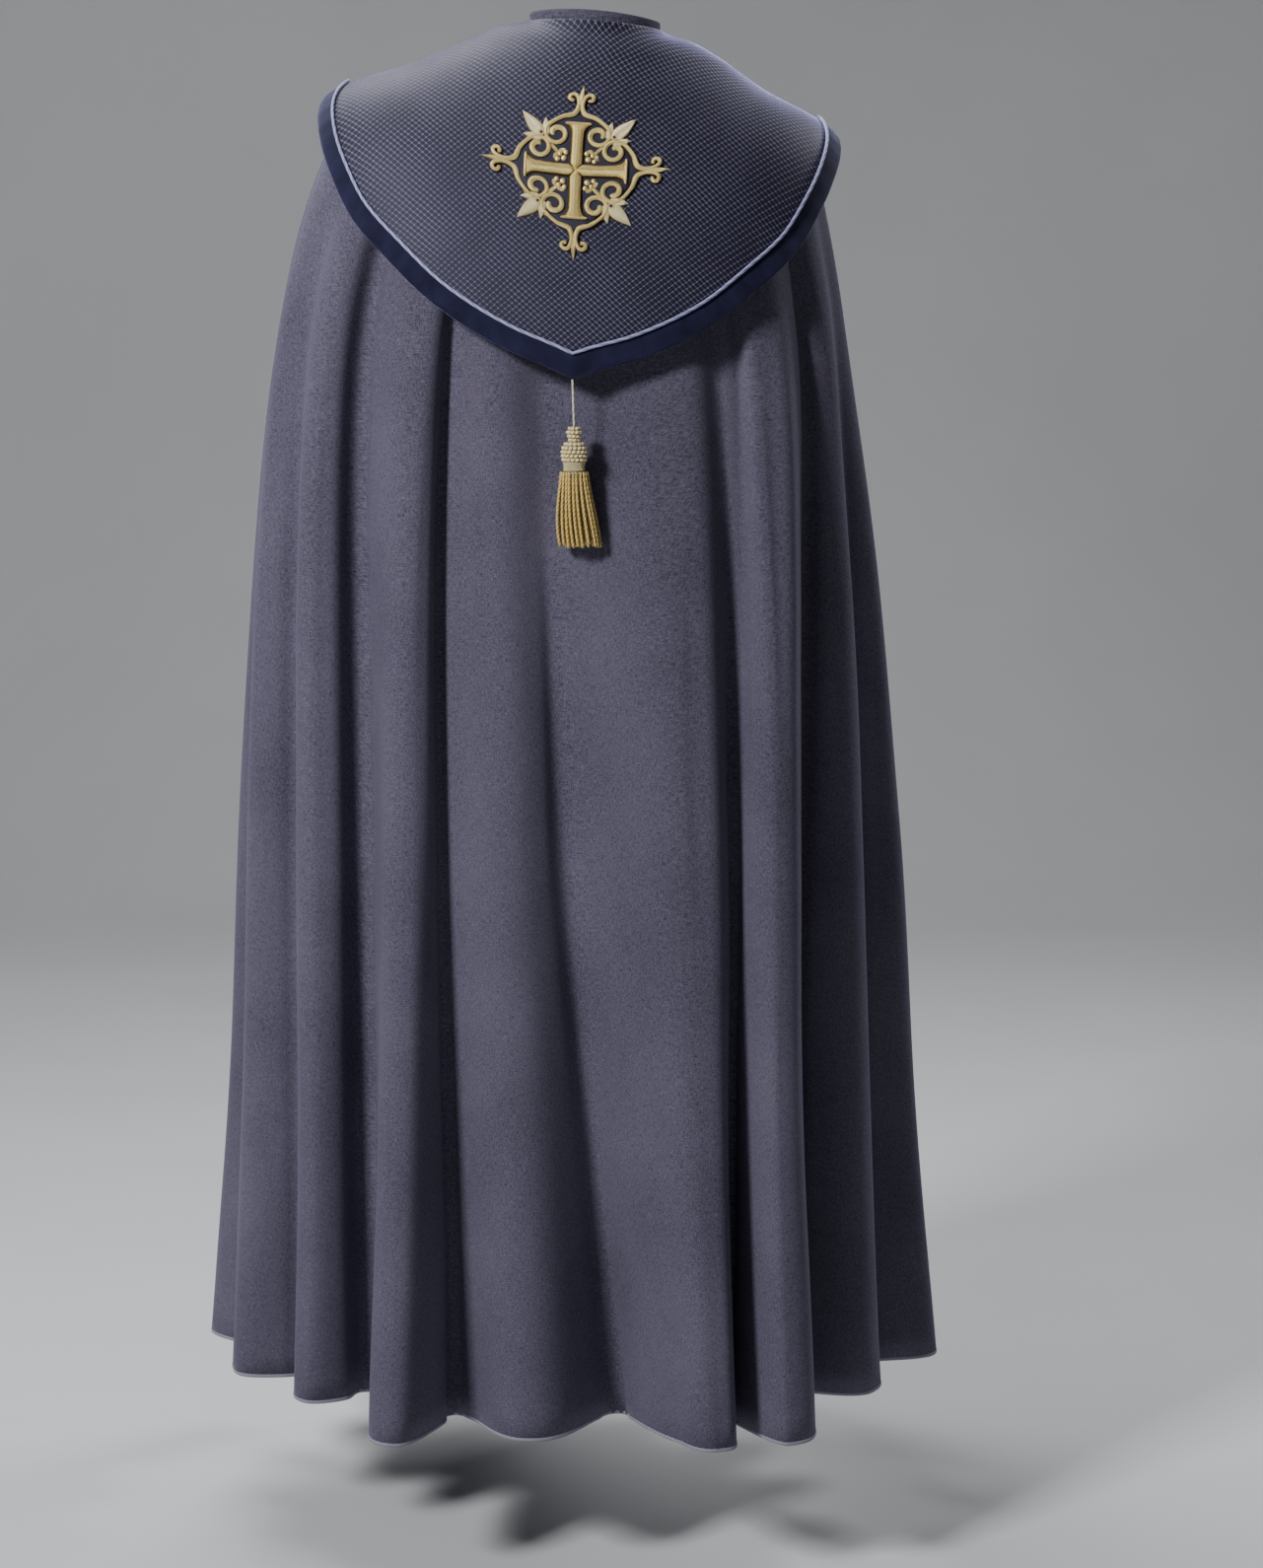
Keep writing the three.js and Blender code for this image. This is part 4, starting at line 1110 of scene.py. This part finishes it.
class COPE_OT_cape(bpy.types.Operator):
    """Drapes the cape's cloth in its folds and turns up its hem"""

    bl_idname = "cope.cape"
    bl_label = "Cape"

    def execute(self, context):
        sizes, colours = context.scene.cope_sizes, context.scene.cope_colours
        wool = cape_wool(tuple(colours.cape_dark), tuple(colours.cape_light))
        places = np.linspace(0, FLANKS, 1200)
        hem = cape_point(places, np.full_like(places, CAPE_LEVELS))
        run = run_along(hem)
        middle = np.interp((FLANKS - 1) / 2, places, run)
        levels = np.linspace(0, CAPE_LEVELS, 200)
        drops = run_along(section_point(CAPE, np.zeros(200), levels, 0))

        def cut(place, level):
            """The place in the flat cloth, whose straight grain runs down the centre back."""
            radius = NECK_RADIUS + np.interp(level, levels, drops)
            turn = np.radians(GRAIN_SPREAD) * (np.interp(place, places, run) - middle) / run[-1]
            return np.stack([radius * np.sin(turn), -radius * np.cos(turn)], -1) * MM

        def at(u, v):
            return u * FLANKS, CAPE_LEVELS * v**ROW_SPACING

        def outside(place, level, height):
            return cape_raised(place, level, crease_relief(place, level) + height)

        cape = Piece("cape_drape")
        cape.sheet(
            CAPE_COLUMNS, CAPE_ROWS, lambda u, v: outside(*at(u, v), 0), lambda u, v: cut(*at(u, v))
        )
        cape = cape.finished([wool], "cape_cloth", ["cape_cloth"], sizes.cape_wall / MM)

        hem_levels = sizes.hem_width / MM / LAST_LEVEL_HEIGHT
        inside = sizes.cape_wall / MM

        def turning(u, v):
            place = u * FLANKS
            level = CAPE_LEVELS - 0.004 - hem_levels * (1 - v)
            return outside(place, level, -inside - TURNING_GAP)

        def turning_cut(u, v):
            return cut(u * FLANKS, CAPE_LEVELS - hem_levels * v)

        hem_turning = Piece("cape_hem_turning")
        hem_turning.sheet(CAPE_COLUMNS, 3, turning, turning_cut)
        hem_turning = hem_turning.finished([wool], "cape_cloth", (), TURNING_WALL)

        def edge(u, v):
            turn = 2 * np.pi * u
            place = FLANKS * (0.0004 + 0.9992 * v)
            drop = CAPE_LEVELS - 0.003 - 0.0075 * np.cos(turn)
            return outside(place, drop, -0.75 + 1.25 * np.sin(turn))

        rolled = Piece("cape_hem_edge")
        rolled.tube(8, 2 * CAPE_COLUMNS, edge, thread_cut(run[-1]))
        pale = twisted_silk("hem_thread", (0.30, 0.30, 0.37), 420, Roughness=0.8)
        rolled = rolled.finished([pale], "cape_cloth")

        fronts = Piece("cape_front_turnings")
        for side in (0, 1):

            def facing(u, v, side=side):
                reach = FACING_REACH * u + 0.004
                level = CAPE_LEVELS * (0.02 + 0.976 * v) ** ROW_SPACING
                return outside(FLANKS - reach if side else reach, level, -inside - TURNING_GAP)

            def facing_cut(u, v, side=side):
                reach = FACING_REACH * u
                return cut(FLANKS - reach if side else reach, CAPE_LEVELS * v)

            fronts.sheet(4, 120, facing, facing_cut)
        fronts = fronts.finished([wool], "cape_cloth", (), TURNING_WALL)
        return {"FINISHED"}


class COPE_OT_neck(bpy.types.Operator):
    """Makes the neckband and the clasp band across the breast"""

    bl_idname = "cope.neck"
    bl_label = "Neckband and clasp"

    def execute(self, context):
        wool = bpy.data.materials["cape_wool"]
        thread = twisted_silk("seam_thread", (0.13, 0.13, 0.19), 900, Roughness=0.7)
        neckband = Piece("neckband_cloth")
        high, low = NECKBAND_RISE

        def band(angle, height, inset):
            a = np.radians(angle)
            base = cape_smooth_point(angle, np.zeros_like(angle))
            outward = point(np.sin(a), -np.cos(a), 0 * a)
            return base + point(0 * a, 0 * a, height) - outward * inset[..., None]

        def round_it(u, v):
            across, through = flat_tube_section(u, 5)
            height = (high + low) / 2 + across * (high - low) / 2
            inset = NECKBAND_INSET + NECKBAND_WALL / 2 * (1 + through)
            return band(NECKBAND_REACH * (2 * v - 1), height, inset)

        neckband.tube(24, 120, round_it, lambda u, v: np.stack([v * 0.33, u * 0.042], -1))
        for line in (high - 3, low + 3):
            for i in range(84):
                angle = NECKBAND_REACH * (-0.985 + 1.97 * i / 83)
                pair = np.array([angle - 0.9, angle + 0.9])
                a, b = band(pair, np.full(2, line), np.full(2, NECKBAND_INSET - 0.1))
                self.stitch(neckband, a, b, 1)
        neckband = neckband.finished([wool, thread], "cape_cloth", ["neckband"])

        clasp = Piece("clasp_band_cloth")
        length, height, wall = CLASP_SIZE
        half = float(curve_through(np.arange(10), CAPE["half"], CLASP_LEVEL))
        levels = np.array([CLASP_LEVEL - 0.5, CLASP_LEVEL + 0.5])
        ends = cape_smooth_point(np.full(2, 180.0), levels)
        per_level = np.linalg.norm(ends[1] - ends[0])

        def on_breast(x, down, lift):
            angle = 180 - np.degrees(np.arcsin(x / half))
            level = CLASP_LEVEL + down / per_level
            normal = normal_of(cape_smooth_point, angle, level, 0.5, 0.02)
            return cape_smooth_point(angle, level) + normal * np.asarray(lift)[..., None]

        def bar(u, v):
            across, through = flat_tube_section(u, 7)
            x = length / 2 * (1 - 2 * v)
            return on_breast(x, across * height / 2, CLASP_LIFT + wall / 2 * (1 + through))

        clasp.tube(40, 60, bar, lambda u, v: np.stack([v * 0.156, u * 0.106], -1))
        corners = ((-72, -22), (72, -22), (72, 22), (-72, 22), (-72, -22))
        for (x0, y0), (x1, y1) in zip(corners, corners[1:]):
            steps = round(math.hypot(x1 - x0, y1 - y0) / 4)
            for i in range(steps):
                share = np.array([i + 0.2, i + 0.8]) / steps
                top = np.full(2, CLASP_LIFT + wall)
                a, b = on_breast(x0 + (x1 - x0) * share, y0 + (y1 - y0) * share, top)
                self.stitch(clasp, a, b, 1)
        clasp = clasp.finished([wool, thread], "cape_cloth", ["clasp_band"])
        return {"FINISHED"}

    def stitch(self, piece, a, b, finish):
        along = Vector(b - a)
        axes = [along.normalized()]
        axes.append(axes[0].orthogonal().normalized())
        axes.append(axes[0].cross(axes[1]))
        piece.ball((a + b) / 2, axes, (along.length / 2, 0.35, 0.35), 1, finish)


class COPE_OT_hood(bpy.types.Operator):
    """Makes the jacquard hood with its velvet border and its piping"""

    bl_idname = "cope.hood"
    bl_label = "Hood"

    def execute(self, context):
        sizes, colours = context.scene.cope_sizes, context.scene.cope_colours
        width = sizes.band_width / MM

        def panel_at(u, v):
            angle, level = hood_rim(u, width)
            start = angle * HOOD_NECK_REACH / HOOD_REACH
            return start + (angle - start) * v, level * v

        def relief(u, v):
            """Soft dents, which die out at the seams and under the emblem."""
            clear = smooth(np.hypot((u - 0.5) / 0.3, (v - 0.52) / 0.42) - 0.75)
            edge = smooth(u / 0.1) * smooth((1 - u) / 0.1)
            edge = edge * smooth(v / 0.2) * smooth((1 - v) / 0.12)
            return clear * edge * 1.1 * np.sin(9 * u + 2 * v) * np.sin(6 * v + 4 * u)

        def panel(u, v):
            return hood_raised(*panel_at(u, v), relief(u, v))

        def cut(u, v):
            at = section_point(HOOD, *panel_at(u, v), 0)
            x, y, z = np.moveaxis(at, -1, 0)
            slope = 0.0013 * x * x
            return np.stack([x * 1.03, -np.hypot(y, 25 - slope - z) - 0.8 * slope], -1) * MM

        hood = Piece("hood_cloth")
        hood.sheet(180, 90, panel, cut)
        cloth = jacquard(tuple(colours.jacquard_dark), tuple(colours.jacquard_thread))
        hood = hood.finished([cloth], "hood_jacquard", ["hood_panel"], HOOD_WALL)

        def band(u, v):
            across, through = flat_tube_section(u, 5)
            half = (width - SEAM_GAP) / 2
            angle, level = hood_rim(v, half + half * across)
            puff = 0.22 * np.sin(60 * v + 1) * np.sin(147 * v)
            height = BAND_WALL / 2 - HOOD_WALL + (BAND_WALL / 2 + puff) * through
            return hood_raised(angle, level, height)

        seam = hood_point(*hood_rim(np.linspace(0, 1, 200), width))
        length = run_along(seam)[-1] * MM
        border = Piece("hood_border")
        border.tube(28, 200, band, lambda u, v: np.stack([v * length, u * 2 * width * MM], -1))
        nap = velvet(tuple(colours.velvet_blue))
        border = border.finished([nap], "border_velvet", ["hood_band"])

        radius = sizes.piping_radius / MM
        seat = BAND_WALL - HOOD_WALL + SEAM_GAP + radius

        def piping_line(v):
            angle, level = hood_rim(0.004 + 0.992 * v, width)
            return hood_raised(angle, level, seat - 0.35), hood_normal(angle, level)

        def piping(u, v):
            middle, up = piping_line(v)
            ahead = piping_line(np.clip(v + 0.002, 0, 1))[0]
            behind = piping_line(np.clip(v - 0.002, 0, 1))[0]
            across = unit(np.cross(unit(ahead - behind), up))
            turn = (2 * np.pi * u)[..., None]
            return middle + radius * (across * np.cos(turn) + up * np.sin(turn))

        tube = Piece("hood_piping_cord")
        tube.tube(10, 260, piping, lambda u, v: np.stack([u, v * length], -1))
        shine = {"Roughness": 0.5, "Sheen_Weight": 0.3, "Sheen_Tint": (0.7, 0.75, 1.0)}
        silk = twisted_silk("piping_silk", tuple(colours.piping_blue), 90, **shine)
        tube = tube.finished([silk], "piping_cord", ["hood_piping"])
        return {"FINISHED"}


def turned(x, y, quarter, mirrored=False):
    """Turned by whole quarters about the emblem's middle, after an optional mirroring."""
    x = -x if mirrored else x
    for _ in range(quarter):
        x, y = -y, x
    return x, y


def spiral_points(spiral, inward):
    middle_x, middle_y, inner, outer, first, last, count = spiral
    t = np.linspace(0, 1, count)
    turn = np.radians(first + (last - first) * t)
    share = 1 - t if inward else t
    r = inner + (outer - inner) * share**0.8
    return np.stack([middle_x + r * np.cos(turn), middle_y + r * np.sin(turn)], -1)


def strand_line(samples=600):
    """The strand's middle line, evenly spaced, through the curl, the ogee and the scroll."""
    knots = np.concatenate([spiral_points(CURL, False), OGEE, spiral_points(SCROLL, True)])
    ends = np.concatenate([[2 * knots[0] - knots[1]], knots, [2 * knots[-1] - knots[-2]]])
    line = []
    for a, b, c, d in zip(ends, ends[1:], ends[2:], ends[3:]):
        gaps = [max(np.linalg.norm(q - p) ** 0.5, 1e-4) for p, q in ((a, b), (b, c), (c, d))]
        slope_b = ((b - a) / gaps[0] - (c - a) / (gaps[0] + gaps[1]) + (c - b) / gaps[1]) * gaps[1]
        slope_c = ((c - b) / gaps[1] - (d - b) / (gaps[1] + gaps[2]) + (d - c) / gaps[2]) * gaps[1]
        t = np.linspace(0, 1, 24, endpoint=False)[:, None]
        line.append(
            (2 * t**3 - 3 * t**2 + 1) * b
            + (t**3 - 2 * t**2 + t) * slope_b
            + (3 * t**2 - 2 * t**3) * c
            + (t**3 - t**2) * slope_c
        )
    line = np.concatenate([*line, [knots[-1]]])
    run = run_along(line)
    even = np.linspace(0, run[-1], samples)
    return np.stack([np.interp(even, run, line[:, k]) for k in (0, 1)], -1), run[-1]


class COPE_OT_emblem(bpy.types.Operator):
    """Embroiders the cross and its frame of scrolls and leaves"""

    bl_idname = "cope.emblem"
    bl_label = "Emblem"

    def execute(self, context):
        colours = context.scene.cope_colours
        golds = (colours.gold_dark, colours.gold_middle, colours.gold_light)
        # dark and light are the painted shade and painted highlight ends of each gold ramp.
        dark, middle, light = (tuple(gold) for gold in golds)
        self.ground()
        warm = satin_stitch("cross_gold", dark, middle, light, 900, 0.7)
        pale_middle = dyed(middle, 0.55, light, 0.45)
        pale = satin_stitch("frame_gold", dark, pale_middle, light, 1100, 0.6)
        leaf = satin_stitch("leaf_gold", pale_middle, light, (1.0, 0.92, 0.58), 900, 0.35)
        bead = plain_silk("bead_violet", (0.05, 0.03, 0.10), Roughness=0.25)
        self.cross(warm)
        self.frame(pale, leaf, bead)
        return {"FINISHED"}

    def ground(self):
        piece = Piece("emblem_ground_cloth")

        def place(u, v):
            turn = 2 * np.pi * u
            quarter = np.pi / 2
            from_arm = np.degrees(np.abs(turn - quarter * np.round(turn / quarter)))
            reach = curve_through(GROUND_TURNS, GROUND_REACHES, from_arm) * np.maximum(v, 1e-5)
            height = GROUND_LIFT + GROUND_WALL * (0.5 + 0.5 * smooth((1 - v) / 0.08))
            return on_emblem(reach * np.cos(turn), reach * np.sin(turn), height)

        part = piece.bent(160, 14, place, None)
        bmesh.ops.remove_doubles(part, verts=part.verts, dist=2e-6)
        bmesh.ops.recalc_face_normals(part, faces=part.faces)
        piece.add(part)
        shine = {"Roughness": 0.7, "Sheen_Weight": 0.2, "Sheen_Roughness": 0.4}
        finish = plain_silk("emblem_silk", (0.022, 0.020, 0.050), **shine)
        piece.finished([finish], "emblem_ground", ["emblem_ground"], 0.8)

    def cross(self, finish):
        piece = Piece("emblem_cross_gold")
        for quarter in range(4):

            def arm(u, v, quarter=quarter):
                across, rise = padded_section(u)
                along = -0.1 + (CROSS_ARM - CROSS_CAP / 2) * v
                flare_from = CROSS_ARM - CROSS_CAP - CROSS_FLARE
                flare = np.clip((along - flare_from) / CROSS_FLARE, 0, 1) ** 2.2
                wide = CROSS_HALF_WIDTH + (CROSS_END_HALF_WIDTH - 1 - CROSS_HALF_WIDTH) * flare
                wide = np.minimum(wide, along + 0.2)
                cords = 0.35 * ridge(np.abs(across), 0.84, 0.07)
                groove = 0.55 * ridge(np.abs(across), 0.66, 0.07)
                ribs = 0.10 * np.cos(across * 14)
                height = CROSS_HEIGHT * rise**0.7 + (cords - groove + ribs) * (rise > 0.05)
                height = height * np.clip(wide / 4, 0.25, 1) * (1 - 0.3 * flare)
                x, y = turned(across * wide, along, quarter)
                return on_emblem(x, y, CROSS_FOOT + height)

            piece.tube(34, 64, arm, padded_cut(CROSS_ARM))

            def cap(u, v, quarter=quarter):
                turn = 2 * np.pi * u
                side = 2 * v - 1
                end = np.sqrt(np.clip(1 - side**8, 0.02, 1))
                along = CROSS_ARM - CROSS_CAP / 2 + CROSS_CAP / 2 * np.cos(turn) * end
                height = CROSS_FOOT + 1.3 + 1.7 * np.sin(turn) * end
                x, y = turned(CROSS_END_HALF_WIDTH * side, along, quarter)
                return on_emblem(x, y, height)

            def cap_cut(u, v):
                return np.stack([np.cos(2 * np.pi * u) * 0.6, v * 0.027], -1)

            piece.tube(12, 30, cap, cap_cut)
        piece.finished([finish], "gold_embroidery", ["emblem_cross"])

    def frame(self, pale, leaf_finish, bead_finish):
        piece = Piece("emblem_frame_gold")
        line, length = strand_line()
        spots = np.linspace(0, 1, len(line))

        def on_line(v):
            return np.stack([np.interp(v, spots, line[:, k]) for k in (0, 1)], -1)

        for quarter in range(4):
            for mirrored in (False, True):

                def strand(u, v, quarter=quarter, mirrored=mirrored):
                    across, rise = padded_section(u)
                    middle = on_line(v)
                    along = unit(on_line(v + 0.01) - on_line(v - 0.01))
                    ends = np.sqrt(np.clip(1 - (2 * v - 1) ** 60, 0.03, 1))
                    half = curve_through(STRAND_SPOTS, STRAND_WIDTHS, v) / 2 * ends
                    groove = 0.75 * ridge(across, 0.5, 0.16)
                    lip = 0.25 * ridge(np.abs(across), 0.84, 0.1)
                    height = (STRAND_HEIGHT * rise**0.75 - groove + lip) * ends
                    x = middle[..., 0] + along[..., 1] * across * half
                    y = middle[..., 1] - along[..., 0] * across * half
                    x, y = turned(x, y, quarter, mirrored)
                    return on_emblem(x, y, STRAND_FOOT + height * (rise > 0.01))

                piece.tube(20, 130, strand, padded_cut(length))
            for x0, y0, x1, y1, width, height in LEAVES:
                self.leaf(piece, quarter, (x0, y0), (x1, y1), width, height)
            for x0, y0, radius in LOBES:
                self.lobe(piece, quarter, x0, y0, radius)
            self.bead(piece, quarter)
        finishes = [pale, leaf_finish, bead_finish]
        piece.finished(finishes, "gold_embroidery", ["emblem_frame"])

    def leaf(self, piece, quarter, start, end, width, height):
        """A padded leaf with a vein down its middle and a pointed tip."""
        start, end = np.array(start, float), np.array(end, float)
        along = end - start
        length = np.linalg.norm(along)
        along = along / length

        def place(u, v):
            across, rise = padded_section(u)
            half = width / 2 * np.clip(np.sin(np.pi * (0.12 + 0.88 * v**0.85)), 0, 1) ** 0.9
            half = np.maximum(half * (1 - 0.25 * v), 0.12)
            vein = 0.7 * ridge(across, 0, 0.12)
            tall = np.clip(half / 2.4, 0.25, 1)
            rise = (height * rise**0.7 - vein * (rise > 0.01)) * tall
            middle = start + along * (length * v)[..., None]
            x = middle[..., 0] + along[1] * across * half
            y = middle[..., 1] - along[0] * across * half
            x, y = turned(x, y, quarter)
            return on_emblem(x, y, STRAND_FOOT + rise)

        def cut(u, v):
            across = padded_section(u)[0]
            return np.stack([across * 0.8, (v * length + np.abs(across) * width * 0.3) * MM], -1)

        piece.tube(16, 14, place, cut, 1 if width > 9 else 0)

    def lobe(self, piece, quarter, x0, y0, radius):
        x, y = turned(x0, y0, quarter)
        piece.ball(on_emblem(x, y, STRAND_FOOT + 1.6), emblem_axes(x, y), (radius, radius, 2.0), 2)

    def bead(self, piece, quarter):
        """A dark bead in a small corded ring."""
        x, y = turned(BEAD_PLACE, BEAD_PLACE, quarter)

        def ring(u, v):
            turn, round_it = 2 * np.pi * v, 2 * np.pi * u
            radius = 2.7 + 0.85 * np.cos(round_it)
            height = 3.0 + 0.95 * np.sin(round_it)
            return on_emblem(x + radius * np.cos(turn), y + radius * np.sin(turn), height)

        piece.tube(8, 24, ring, lambda u, v: np.stack([0.3 * np.cos(2 * np.pi * u), v * 0.017], -1))
        piece.ball(on_emblem(x, y, 2.9), emblem_axes(x, y), (2.0, 2.0, 1.5), 2, 2)


def emblem_axes(x, y):
    """Directions along the cloth and out of it at a place on the emblem."""
    here = on_emblem(x, y, 0)
    right = unit(on_emblem(x + 1, y, 0) - here)
    out = unit(on_emblem(x, y, 1) - here)
    return right, np.cross(out, right), out


class COPE_PT_panel(bpy.types.Panel):
    """Lists the steps that build the cope, with its sizes and colours"""

    bl_idname = "COPE_PT_panel"
    bl_label = "Cope"
    bl_space_type = "VIEW_3D"
    bl_region_type = "UI"
    bl_category = "Cope"

    def draw(self, context):
        layout = self.layout
        for group in (context.scene.cope_sizes, context.scene.cope_colours):
            column = layout.column()
            for name in group.__annotations__:
                column.prop(group, name)
        for step in STEPS:
            layout.operator(step.bl_idname)


STEPS = (
    COPE_OT_stage,
    COPE_OT_cord,
    COPE_OT_cape,
    COPE_OT_neck,
    COPE_OT_hood,
    COPE_OT_emblem,
)
CLASSES = (CopeSizes, CopeColours, *STEPS, COPE_PT_panel)


def register():
    for part in CLASSES:
        bpy.utils.register_class(part)
    bpy.types.Scene.cope_sizes = bpy.props.PointerProperty(type=CopeSizes)
    bpy.types.Scene.cope_colours = bpy.props.PointerProperty(type=CopeColours)


def unregister():
    del bpy.types.Scene.cope_colours
    del bpy.types.Scene.cope_sizes
    for part in reversed(CLASSES):
        bpy.utils.unregister_class(part)


def main():
    register()
    bpy.ops.cope.stage()
    bpy.ops.cope.cord()
    bpy.ops.cope.cape()
    bpy.ops.cope.neck()
    bpy.ops.cope.hood()
    bpy.ops.cope.emblem()


if __name__ == "__main__":
    main()
